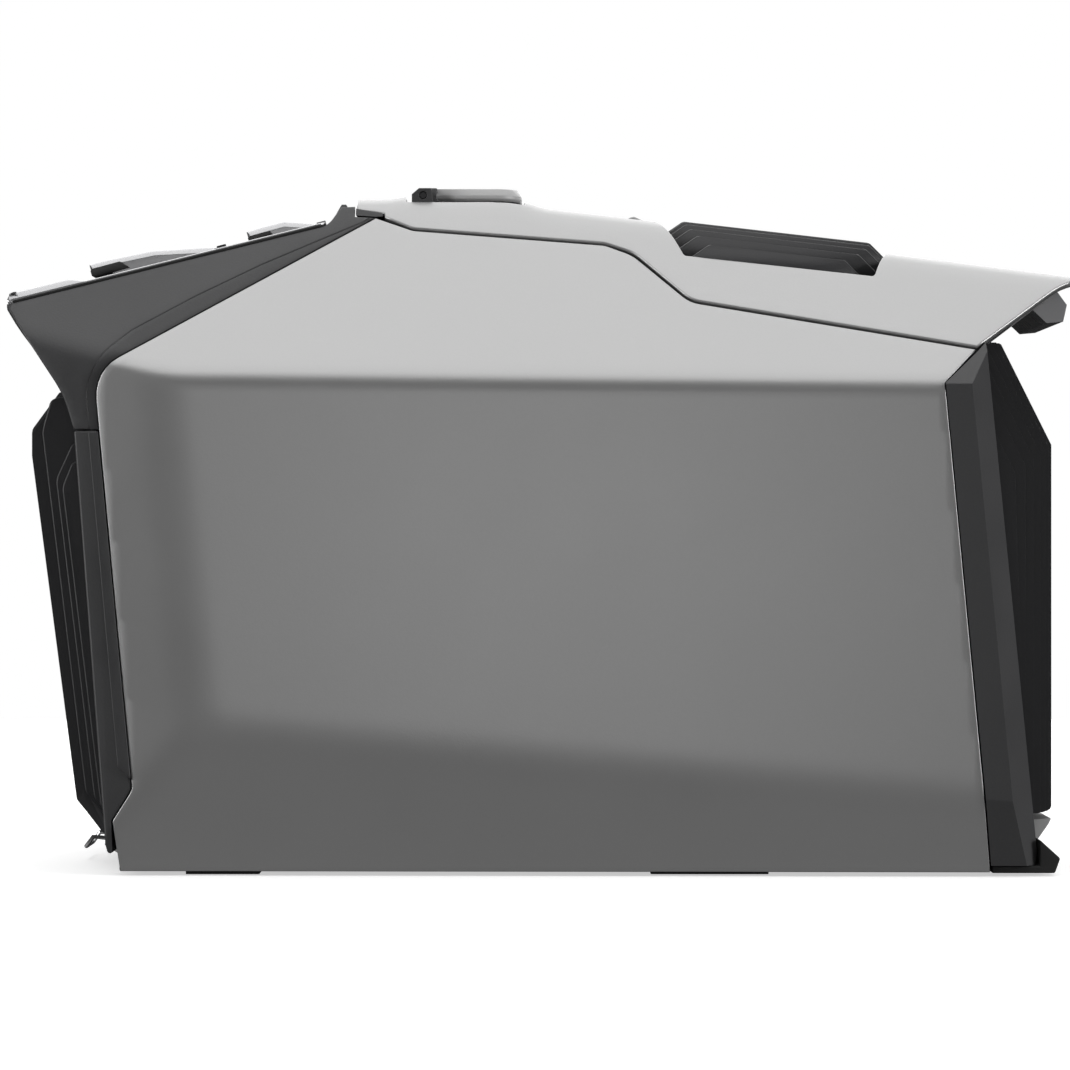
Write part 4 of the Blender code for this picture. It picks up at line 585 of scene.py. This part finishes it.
def roof_rib(index):
    """One slat of the roof vent: the slats step down and grow shorter towards the flanks."""
    y = RIB_SPREAD * (2 * index / (ROOF_RIBS - 1) - 1)
    fall = max(0.0, abs(y) - LEVEL_HALF) / FALL_RUN
    start, end = RIB_CREST[0][0] + SHORT_FRONT * fall**3, RIB_CREST[1][0] - SHORT_REAR * fall**3
    drop = RIB_DROP * fall**1.7
    outline = rounded(
        [
            (start - 0.0125, crest(start) - drop - 0.0085, 0.001),
            (start, crest(start) - drop, 0.003),
            (end, crest(end) - drop, 0.003),
            (end + 0.0085, crest(end) - drop - 0.0085, 0.001),
            (end + 0.0085, crest(end) - PAN_DEPTH),
            (start - 0.0125, crest(start) - PAN_DEPTH),
        ]
    )
    stations, sections = [], []
    middle = Vector((0.5 * (start + end), 0.5 * (crest(start) + crest(end)) - 0.5 * PAN_DEPTH))
    for shift, inset in ((-0.0017, 0.0007), (-0.0010, 0.0), (0.0010, 0.0), (0.0017, 0.0007)):
        stations.append(Matrix(((1, 0, 0, 0), (0, 0, -1, y + shift), (0, 1, 0, 0), (0, 0, 0, 1))))
        sections.append([tuple(Vector(p) - (Vector(p) - middle).normalized() * inset) for p in outline])
    replaced = ("top_vent",) if index == 0 else ()
    piece(lofted(f"roof_rib_{index + 1}", stations, sections), "black", replaces=replaced)


def roof_pan():
    """The dark floor under the slats."""
    corners = [(p[0], p[1] * 1.01) for p in vent_hole]

    def floor(x, y):
        return Vector((x, y, crest(x) - PAN_DEPTH + 0.001))

    return piece(skin("roof_vent_pan", [corners], floor, 0.003, 0.0005, 0.008), "black")


for index in range(ROOF_RIBS):
    roof_rib(index)
roof_pan()

# ---------------------------------------------------------------- console

SLOPE = math.atan2(0.0392, 0.1475)
PLATE_FRONT = front(0.0059, 0.0591)
PLATE_BACK = front(0.1534, 0.0199)
YAW = 0.231  # how fast the side turns in ahead of SIDE_TURN
SIDE_TURN = 0.0510
TIP_LENGTH = 0.0092
TIP_RADIUS = 0.0085


def shifted(point, distance, angle):
    return (point[0] + distance * math.cos(angle), point[1] + distance * math.sin(angle))


def console_flank(x, z):
    """Half the console's width: the shoulder plane above, and a side that turns in towards the nose."""
    turn = front(SIDE_TURN, 0)[0]
    nose = HALF - (along(NOSE_FOLD, z, 1) - turn) * math.tan(NOSE_TILT) - (turn - x) * YAW
    near = HALF - (along(NOSE_FOLD, z, 1) - x) * math.tan(NOSE_TILT)
    side = soft_min(near, nose, 0.0020)
    tip = max(0.0, FRONT + TIP_LENGTH - x)
    side -= 0.5 * tip * tip / TIP_RADIUS
    return soft_min(side, HALF - (z - along(SHOULDER_FOLD, x, 0)) * math.tan(FLANK_TILT), 0.0062)


def shell_edge():
    """The side shell's front edge, from the brow down to the neck."""
    line = rounded([BROW, (*HIP, HIP_RADIUS), NECK_BACK, front_low(0.0630, 0.041), HEEL_FRONT], steps=12)
    return resample_open([p for p in line if p[1] >= NECK[1] - 1e-5], 0.003)


CREASE_RUN = [0.0474, 0.050, 0.056, 0.066, 0.095, 0.125, 0.150, 0.172]  # behind the front
CREASE_DEPTH = [0.0040, 0.0046, 0.0062, 0.0082, 0.0080, 0.0062, 0.0032, 0.0004]


def crease_depth(x):
    """How far the crease stands off the shell's edge."""
    return float(np.interp(x - FRONT, CREASE_RUN, CREASE_DEPTH))


def offset_line(line, depth):
    moved = []
    for i, here in enumerate(line):
        before, after = line[max(0, i - 1)], line[min(len(line) - 1, i + 1)]
        way = Vector((after[0] - before[0], after[1] - before[1])).normalized()
        moved.append((here[0] - way.y * depth(here[0]), here[1] + way.x * depth(here[0])))
    return moved


GAP = 0.0006
EDGE = offset_line(shell_edge(), lambda x: -GAP)
EDGE = [(x, max(z, NECK[1])) for x, z in EDGE]
CREASE_LINE = offset_line(EDGE, lambda x: -crease_depth(x))
CREASE_LINE = [(x, max(z, NECK[1])) for x, z in CREASE_LINE]
EDGE_RISE = 0.0006


def on_slope(share, lift):
    """A point beside the control plate: share of its length from the front, lift out of its surface."""
    x = PLATE_FRONT[0] + (PLATE_BACK[0] - PLATE_FRONT[0]) * share
    z = PLATE_FRONT[1] + (PLATE_BACK[1] - PLATE_FRONT[1]) * share
    return shifted((x, z), lift, SLOPE + math.pi / 2)


NOSE_LOW = front(0.0012, 0.0603)
NOSE_TOP = on_slope(-0.030, EDGE_RISE)


def throat_line():
    """Side view of the hollow front, from the nose's tip down to the neck."""
    hollow = (NECK[0] - 0.005, NECK[1] + 0.0165, 0.060)
    line = rounded([NOSE_TOP, (*NOSE_LOW, 0.0030), hollow, NECK, (NECK[0], 0)], steps=10)
    return resample_open([NOSE_TOP] + [p for p in line[1:-1]], 0.003)


def edge_gap(x, z, line):
    p = np.array((x, z))
    a = np.array(line[:-1])
    d = np.array(line[1:]) - a
    t = np.clip(((p - a) * d).sum(1) / np.maximum((d**2).sum(1), 1e-18), 0, 1)
    return float(np.sqrt((((a + t[:, None] * d) - p) ** 2).sum(1)).min())


def console_sides():
    upper = rounded(
        [
            NOSE_TOP,
            (*on_slope(0.995, EDGE_RISE), 0.010),
            (front(0.1590, 0)[0], TOP - 0.0098, 0.0006),
            (front(0.1655, 0)[0], TOP - 0.0098),
            (front(0.1655, 0)[0], BROW[1] + 0.0010),
            (BROW[0] - 0.0009, BROW[1] + 0.0004),
        ]
    )
    main = upper + CREASE_LINE[1:] + list(reversed(throat_line()))
    main = [p for i, p in enumerate(main) if math.dist(p, main[i - 1]) > 2e-4]
    strip = EDGE + list(reversed(CREASE_LINE[1:]))
    strip = [p for i, p in enumerate(strip) if math.dist(p, strip[i - 1]) > 2e-4]
    return main, strip


def mirrored(obj, name):
    mesh = obj.data.copy()
    mesh.transform(Matrix.Scale(-1, 4, (0, 1, 0)))
    mesh.flip_normals()
    twin = bpy.data.objects.new(name, mesh)
    bpy.context.scene.collection.objects.link(twin)
    return twin


main, strip = console_sides()


def console_surface(x, z):
    return Vector((x, -console_flank(x, z) - 0.0004, z))


def strip_surface(x, z):
    depth = max(0.0, crease_depth(x) - edge_gap(x, z, EDGE))
    return Vector((x, -console_flank(x, z) + 0.30 * depth, z))


side_r = skin("console_side_right", [main], console_surface, 0.0030, 0.0008, 0.0030)
strip_r = skin("console_edge_right", [strip], strip_surface, 0.0022, 0.0003, 0.0020, steps=3)
for obj, name in ((side_r, "console_side_left"), (strip_r, "console_edge_left")):
    piece(mirrored(obj, name), "dark")
piece(side_r, "dark", replaces=("console_housing",))
piece(strip_r, "dark")


def sheet_between(name, line, half, thickness):
    """A closed sheet that follows a side-view line, from flank to flank."""
    bm = bmesh.new()
    count = 25
    rows = []
    for x, z in line:
        reach = half(x, z)
        rows.append([(x, -reach + 2 * reach * i / (count - 1), z) for i in range(count)])
    places = np.array(rows)
    along_line = np.gradient(places, axis=0)
    normal = np.stack([along_line[:, :, 2], np.zeros(places.shape[:2]), -along_line[:, :, 0]], axis=2)
    normal /= np.linalg.norm(normal, axis=2)[:, :, None]
    sheets = []
    for shift in (0.0, thickness):
        moved = places + normal * shift
        sheets.append([[bm.verts.new(tuple(p)) for p in row] for row in moved])
    n = len(rows)
    for k, verts in enumerate(sheets):
        for i in range(n - 1):
            for j in range(count - 1):
                bm.faces.new([verts[i][j], verts[i][j + 1], verts[i + 1][j + 1], verts[i + 1][j]])
    for i in range(n - 1):
        for j in (0, count - 1):
            bm.faces.new([sheets[0][i][j], sheets[0][i + 1][j], sheets[1][i + 1][j], sheets[1][i][j]])
    for j in range(count - 1):
        for i in (0, n - 1):
            bm.faces.new([sheets[0][i][j], sheets[0][i][j + 1], sheets[1][i][j + 1], sheets[1][i][j]])
    return add_object(name, bm)


throat = sheet_between("console_throat", throat_line(), lambda x, z: console_flank(x, z) - 0.0008, -0.0025)
piece(throat, "dark")

# ---------------------------------------------------------------- control plate's edge and the two flaps

UP_SLOPE = Vector((math.cos(SLOPE), 0, math.sin(SLOPE)))
OUT = Vector((-math.sin(SLOPE), 0, math.cos(SLOPE)))
PANEL = Vector((PLATE_FRONT[0], 0, PLATE_FRONT[1]))
# How far up the plate each hinge lies, and how high its pin stands over it.
AC_HINGE = 0.0993
DC_HINGE = 0.1485
HINGE_RISE = 0.0026
FLAP_WALL = 0.0040
BARREL_RADIUS = 0.0021
OVER_PLATE = Vector((-0.12, 0, 0.30))  # lies within the border on every side


def station(place, across, up, way):
    m = Matrix.Identity(4)
    m.col[0][:3], m.col[1][:3], m.col[2][:3] = across, up, way
    m.col[3][:3] = place
    return m


def rim_path():
    """The line round the control plate, up one flank, along the nose and down the other."""
    near = []
    for step in range(61):
        share = 0.99 - (0.99 + 0.027) * (step / 60) ** 0.9
        x, z = on_slope(share, EDGE_RISE)
        near.append(Vector((x, -console_flank(x, z) - 0.0004, z)))
    nose = near[-1]
    front_bar = [Vector((nose.x, nose.y * (1 - k / 12), nose.z)) for k in range(1, 24)]
    return near + front_bar + [Vector((p.x, -p.y, p.z)) for p in reversed(near)]


def plate_rim(name, look, section_at):
    path = rim_path()
    stations, sections = [], []
    for i, here in enumerate(path):
        way = (path[min(len(path) - 1, i + 1)] - path[max(0, i - 1)]).normalized()
        across = OUT.cross(way).normalized()
        if across.dot(OVER_PLATE - here) < 0:
            across = -across
        stations.append(station(here, across, OUT, way))
        sections.append(section_at(here.x))
    return piece(lofted(name, stations, sections), look)


BORDER_LOW = 0.0005
BORDER_RISE = 0.0030  # what the nose adds to it
RISE_START = -0.2165
RISE_RUN = 0.0085


def pad_height(x):
    """The plate's border stands higher round its nose."""
    t = min(1.0, max(0.0, (RISE_START - x) / RISE_RUN))
    return BORDER_LOW + BORDER_RISE * t * t * (3 - 2 * t)


def gasket_section(x):
    return [(0.0002, -0.0004), (0.0002, 0.0014), (0.0030, 0.0014), (0.0030, -0.0004)]


def border_section(x):
    rise = pad_height(x)
    lean = 0.9 * (rise - BORDER_LOW)
    return [
        (-0.0001, 0.0013),
        (0.0001, 0.0013 + 0.45 * min(rise, 0.0012)),
        (0.0004 + lean * 0.45, 0.0013 + rise * 0.70),
        (0.0007 + lean, 0.0013 + rise * 0.97),
        (0.0012 + lean, 0.0013 + rise),
        (0.0026 + lean, 0.0013 + rise * 0.96),
        (0.0032 + lean, 0.0004),
        (0.0030, -0.0030),
    ]


plate_rim("plate_gasket", "rubber", gasket_section)
plate_rim("plate_border", "gloss", border_section)


def carved(obj, cutter):
    """The object with the cutter's room taken out, as a plain mesh."""
    cut = obj.modifiers.new("Cut", "BOOLEAN")
    cut.operation, cut.solver, cut.object = "DIFFERENCE", "EXACT", cutter
    graph = bpy.context.evaluated_depsgraph_get()
    mesh = bpy.data.meshes.new_from_object(obj.evaluated_get(graph))
    obj.modifiers.clear()
    obj.data = mesh
    bpy.data.objects.remove(cutter)
    return obj


def flap_prism(name, hinge, shape, ends):
    """A panel-wide prism; ends are (y, drop of the upper edge) from one side to the other."""
    stations, sections = [], []
    for y, drop, short in ends:
        place = PANEL + UP_SLOPE * hinge + Vector((0, y, 0))
        stations.append(station(place, UP_SLOPE, OUT, Vector((0, -1, 0))))
        section = []
        for u, w, upper in shape:
            low = w - drop if upper else w
            section.append((u + (short if u < -0.5 * abs(shape[0][0]) else 0), low))
        sections.append(section)
    return lofted(name, stations, sections)


def flap_cover(name, hinge, half, top, foot, hollow, lip_shadow):
    """Crowned hood over the sockets: sloping rims, a dark rubber band under its lip that is painted shade for the
    lip's shadow, room for plugs inside.
    """
    shape = [(u, w, True) for u, w in top] + [(u, w, False) for u, w in foot]
    rims = [(half, 0.0036, 0.0016), (half - 0.0008, 0.0026, 0.0009), (half - 0.0024, 0.0014, 0.0003)]
    rims += [(half - 0.0044, 0.0005, 0.0), (half - 0.0075, 0.0, 0.0)]
    ends = rims + [(-y, drop, short) for y, drop, short in reversed(rims)]
    hood = flap_prism(f"{name}_hood", hinge, shape, ends)
    inner = half - FLAP_WALL
    cut_shape = [(u, w, False) for u, w in hollow]
    room = flap_prism(f"{name}_room", hinge, cut_shape, [(inner, 0, 0), (-inner, 0, 0)])
    hood = carved(hood, room)
    hood.data.shade_smooth()
    weld = hood.modifiers.new("Weld", "WELD")
    weld.merge_threshold = 0.00002
    bevel = hood.modifiers.new("Bevel", "BEVEL")
    bevel.width, bevel.segments, bevel.limit_method, bevel.angle_limit = 0.0006, 3, "ANGLE", math.radians(24)
    hood.modifiers.new("Normals", "WEIGHTED_NORMAL")
    piece(hood, "gloss", body=f"{name}_flap", replaces=(f"{name}_flap",))
    # The dark rubber band under the lip is painted shade: it fills the place where the lip's shadow falls.
    edge = half + 0.0002
    near_end = [(edge, 0, 0.0012), (edge - 0.0009, 0, 0.0003), (edge - 0.002, 0, 0)]
    band = flap_prism(
        f"{name}_flap_lip_shadow",
        hinge,
        [(u, w, False) for u, w in lip_shadow],
        near_end + [(-y, drop, short) for y, drop, short in reversed(near_end)],
    )
    piece(band, "rubber", body=f"{name}_flap")


def flap_barrel(name, hinge, half):
    """The flap's hinge barrel, wrapped round its pin and webbed to the hood."""
    section = [(-0.0050, HINGE_RISE + 0.0017), (-0.0050, HINGE_RISE - 0.0015)]
    for step in range(15):
        angle = math.radians(-112 + 17 * step)
        section.append((BARREL_RADIUS * math.cos(angle), HINGE_RISE + BARREL_RADIUS * math.sin(angle)))
    shape = [(u, w, False) for u, w in section]
    barrel = flap_prism(f"{name}_hinge_barrel", hinge, shape, [(half, 0, 0), (-half, 0, 0)])
    piece(barrel, "gloss", body=f"{name}_flap")


# Outlines of the top, the foot, the room inside and the dark band of painted shade under the lip. Each point
# is the distance up the slope from the hinge, then out of the plate.
flap_cover(
    "ac",
    AC_HINGE,
    0.078,
    [
        (-0.0638, 0.0086), (-0.0638, 0.0122), (-0.0560, 0.0121),
        (-0.0333, 0.0109), (-0.0093, 0.0062), (-0.0034, 0.0048),
    ],
    [(-0.0034, 0.0006), (-0.0528, 0.0006), (-0.0545, 0.0070)],
    [
        (-0.0506, -0.002), (-0.0506, 0.0094), (-0.0333, 0.0087),
        (-0.0100, 0.0042), (-0.0056, 0.0033), (-0.0056, -0.002),
    ],
    [
        (-0.0628, 0.0046), (-0.0638, 0.0056), (-0.0639, 0.0080),
        (-0.0632, 0.0088), (-0.0500, 0.0088), (-0.0460, 0.0046),
    ],
)
flap_cover(
    "dc",
    DC_HINGE,
    0.060,
    [
        (-0.0362, 0.0058), (-0.0362, 0.0095), (-0.0290, 0.0097),
        (-0.0175, 0.0097), (-0.0065, 0.0060), (-0.0034, 0.0048),
    ],
    [(-0.0034, 0.0006), (-0.0280, 0.0006), (-0.0296, 0.0042)],
    [
        (-0.0258, -0.002), (-0.0258, 0.0075), (-0.0180, 0.0076),
        (-0.0080, 0.0042), (-0.0056, 0.0033), (-0.0056, -0.002),
    ],
    [
        (-0.0352, 0.0020), (-0.0361, 0.0028), (-0.0363, 0.0054),
        (-0.0356, 0.0060), (-0.0262, 0.0060), (-0.0240, 0.0020),
    ],
)
flap_barrel("ac", AC_HINGE, 0.064)
flap_barrel("dc", DC_HINGE, 0.046)

# ---------------------------------------------------------------- pillar beside the shell


def pillar_strip():
    """The thin moulded strip between the front frame's pillar and the shell's edge."""
    foot = front_low(0.0623, 0.046)
    back = [(EDGE[-1][0], NECK[1] - 0.0012), (foot[0], foot[1])]
    ahead = [(foot[0] - 0.0062, foot[1] + 0.0060), (EDGE[-1][0] - 0.0046, NECK[1] - 0.0012)]
    return resample(back + ahead, 0.004)


PILLAR_FACE = 0.1284  # how far out the strip lies
PILLAR_LEAN = 0.05


def pillar_surface(x, z):
    reach = x - along((NECK_BACK, front_low(0.0630, 0.041)), z, 1) + 0.0040
    return Vector((x, -PILLAR_FACE - PILLAR_LEAN * max(0.0, reach), z))


strip_object = skin("pillar_strip_right", [pillar_strip()], pillar_surface, 0.0012, 0.0004, 0.0020, steps=3)
piece(mirrored(strip_object, "pillar_strip_left"), "dark")
piece(strip_object, "dark")

# ---------------------------------------------------------------- outer ribs of the front vent

# The line that the slats' leading edges follow, (X, Z) at its top and at its foot.
VENT_EDGE = ((-0.2426, 0.2123), (-0.2221, 0.0419))
RIB_BACK_TOP = -0.2140
RIB_BACK_FOOT = (-0.2070, 0.0300)
# Each rib: Y, how far it is set back, the heights of its shoulder and crest, how far its
# crest leans back, and the height of its foot.
OUTER_RIBS = (
    (0.0945, 0.0035, 0.2110, 0.2263, 0.0043, 0.0380),
    (0.1005, 0.0080, 0.1878, 0.2047, 0.0077, 0.0356),
    (0.1065, 0.0112, 0.1840, 0.1955, 0.0046, 0.0318),
)


def outer_rib(index, y, back, shoulder, crest, lean, foot):
    """One of the slats beside the vent: each is set further back and lower than its inner neighbour."""

    def edge(z):
        (x0, z0), (x1, z1) = VENT_EDGE
        return x0 + (x1 - x0) * (z0 - z) / (z0 - z1) + back

    outline = rounded(
        [
            (edge(shoulder), shoulder, 0.010),
            (edge(shoulder) + lean, crest, 0.004),
            (RIB_BACK_TOP, crest + 0.004),
            RIB_BACK_FOOT,
            (edge(foot) + 0.0100, foot - 0.0120, 0.003),
            (edge(foot), foot, 0.006),
        ]
    )
    rib = skin(f"front_rib_{index}_right", [outline], lambda x, z: Vector((x, -y, z)), 0.0024, 0.0009, 0.0040)
    piece(mirrored(rib, f"front_rib_{index}_left"), "black")
    piece(rib, "black")


for index, measures in enumerate(OUTER_RIBS, 1):
    outer_rib(index, *measures)

# ---------------------------------------------------------------- handle

handle_low, handle_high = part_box("handle")
pivot = [j for j in frame["joints"] if j["name"] == "handle_hinge"][0]["pos_m"]


def handle_bar():
    """The grip: a flat bar with broad slanting upper edges, bent to its two arms in the plane of the roof."""
    y = handle_high.y
    x0, x1 = pivot[0] + 0.0062, handle_high.x
    top, low = handle_high.z - 0.0004, handle_low.z + 0.0006
    width_arm, width_bar = 0.0080, 0.0120
    arm_y, bar_x = y - width_arm / 2, x1 - width_bar / 2
    path = rounded([(x0, -arm_y), (bar_x, -arm_y, 0.010), (bar_x, arm_y, 0.010), (x0, arm_y)], steps=8)
    first = path.index(min(path, key=lambda p: (round(p[1], 4), p[0])))
    path = path[first:] + path[:first]
    stations, sections = [], []
    for i, here in enumerate(path):
        before, after = path[max(0, i - 1)], path[min(len(path) - 1, i + 1)]
        way = Vector((after[0] - before[0], after[1] - before[1], 0)).normalized()
        side = Vector((way.y, -way.x, 0))
        share = min(1.0, max(0.0, abs(side.x)))
        half = (width_arm + (width_bar - width_arm) * share) / 2
        up = Vector((0, 0, 1))
        place = Matrix.Identity(4)
        place.col[0][:3], place.col[1][:3], place.col[2][:3] = side, up, way
        place.col[3][:3] = Vector((here[0], here[1], 0))
        thick = top - low
        section = rounded(
            [
                (half, low + thick * 0.20, 0.0008),
                (half, low + thick * 0.46, 0.0010),
                (half - 0.0022, top, 0.0010),
                (-half + 0.0022, top, 0.0010),
                (-half, low + thick * 0.46, 0.0010),
                (-half, low + thick * 0.20, 0.0008),
                (-half + 0.0012, low, 0.0006),
                (half - 0.0012, low, 0.0006),
            ],
            steps=3,
        )
        stations.append(place)
        sections.append(section)
    return lofted("handle_bar", stations, sections)


bar = handle_bar()
piece(bar, "silver", body="handle", replaces=("handle",))


def knuckle(side):
    """Faceted dark end of one handle arm, round the hinge rod."""
    y = side * (handle_high.y - 0.0040)
    profile = rounded(
        [
            (pivot[0] - 0.0052, pivot[2] - 0.0020, 0.0008),
            (pivot[0] - 0.0044, pivot[2] + 0.0022, 0.0012),
            (pivot[0] + 0.0030, handle_high.z - 0.0001, 0.0012),
            (pivot[0] + 0.0066, handle_high.z - 0.0001, 0.0006),
            (pivot[0] + 0.0078, pivot[2] - 0.0030, 0.0006),
            (pivot[0] - 0.0020, pivot[2] - 0.0034, 0.0010),
        ],
        steps=3,
    )
    centre = Vector((sum(p[0] for p in profile) / len(profile), sum(p[1] for p in profile) / len(profile)))
    stations, sections = [], []
    for shift, scale in ((-0.0039, 0.86), (-0.0031, 1.0), (0.0031, 1.0), (0.0039, 0.86)):
        place = Matrix(((1, 0, 0, 0), (0, 0, -1, y + shift), (0, 1, 0, 0), (0, 0, 0, 1)))
        stations.append(place)
        sections.append([tuple(centre + (Vector(p) - centre) * scale) for p in profile])
    word = "right" if side < 0 else "left"
    return piece(lofted(f"handle_knuckle_{word}", stations, sections), "dark", body="handle")


knuckle(-1)
knuckle(1)

# ---------------------------------------------------------------- stage, light and camera


def stage_material(name, color, emission):
    material = bpy.data.materials.new(name)
    material.use_nodes = True
    shader = material.node_tree.nodes["Principled BSDF"]
    shader.inputs["Base Color"].default_value = (*color, 1)
    shader.inputs["Roughness"].default_value = 0.9
    shader.inputs["Emission Color"].default_value = (1, 1, 1, 1)
    shader.inputs["Emission Strength"].default_value = emission
    return material


bm = bmesh.new()
bmesh.ops.create_circle(bm, cap_ends=True, segments=96, radius=1.7)
floor = add_object("floor", bm, False)
floor.data.materials.append(stage_material("floor_white", (0.8, 0.8, 0.8), 0.55))
bm = bmesh.new()
bmesh.ops.create_uvsphere(bm, u_segments=48, v_segments=24, radius=9.0)
backdrop = add_object("backdrop", bm)
backdrop.data.materials.append(stage_material("backdrop_white", (0, 0, 0), 1.0))
for obj in (floor, backdrop):
    obj.visible_diffuse = obj.visible_glossy = obj.visible_transmission = False
    obj.visible_shadow = False

world = bpy.data.worlds.new("studio")
bpy.context.scene.world = world
world.use_nodes = True
world.node_tree.nodes["Background"].inputs["Color"].default_value = (1, 1, 1, 1)
world.node_tree.nodes["Background"].inputs["Strength"].default_value = 0.02


def softbox(name, place, target, size, power):
    light = bpy.data.lights.new(name, "AREA")
    light.shape = "RECTANGLE"
    light.size, light.size_y = size
    light.energy = power
    obj = bpy.data.objects.new(name, light)
    obj.location = place
    obj.rotation_mode = "QUATERNION"
    obj.rotation_quaternion = (Vector(target) - Vector(place)).to_track_quat("-Z", "Y")
    bpy.context.scene.collection.objects.link(obj)
    obj.visible_camera = False
    return obj


softbox("overhead", (0, -0.2, 1.7), (0, 0, 0.2), (2.2, 2.2), 22)
softbox("front_card", (0.0, -2.6, 0.2), (0, 0, 0.16), (0.7, 0.7), 2.15)
softbox("low_card", (0.0, -1.6, -1.1), (0, 0, 0.1), (2.6, 0.9), 1.75)
softbox("left_card", (-2.2, -0.9, 0.5), (0, 0, 0.16), (1.2, 1.4), 26)
softbox("right_card", (2.2, -0.9, 0.5), (0, 0, 0.16), (1.2, 1.4), 27)
softbox("back_card", (0.0, 2.0, 1.5), (0, 0, 0.3), (3.4, 2.4), 48)

EYE_DISTANCE = 2.2
AIM_X, AIM_Z = -0.0025, 0.1612
LENS = 147.8
camera = bpy.data.cameras.new("camera")
camera.sensor_width = 36.0
camera.lens = LENS
camera.clip_start, camera.clip_end = 0.05, 40
eye = bpy.data.objects.new("camera", camera)
eye.location = (AIM_X, -EYE_DISTANCE, AIM_Z)
eye.rotation_euler = (math.pi / 2, 0, 0)
bpy.context.scene.collection.objects.link(eye)
bpy.context.scene.camera = eye
bpy.context.scene.view_settings.view_transform = "Standard"
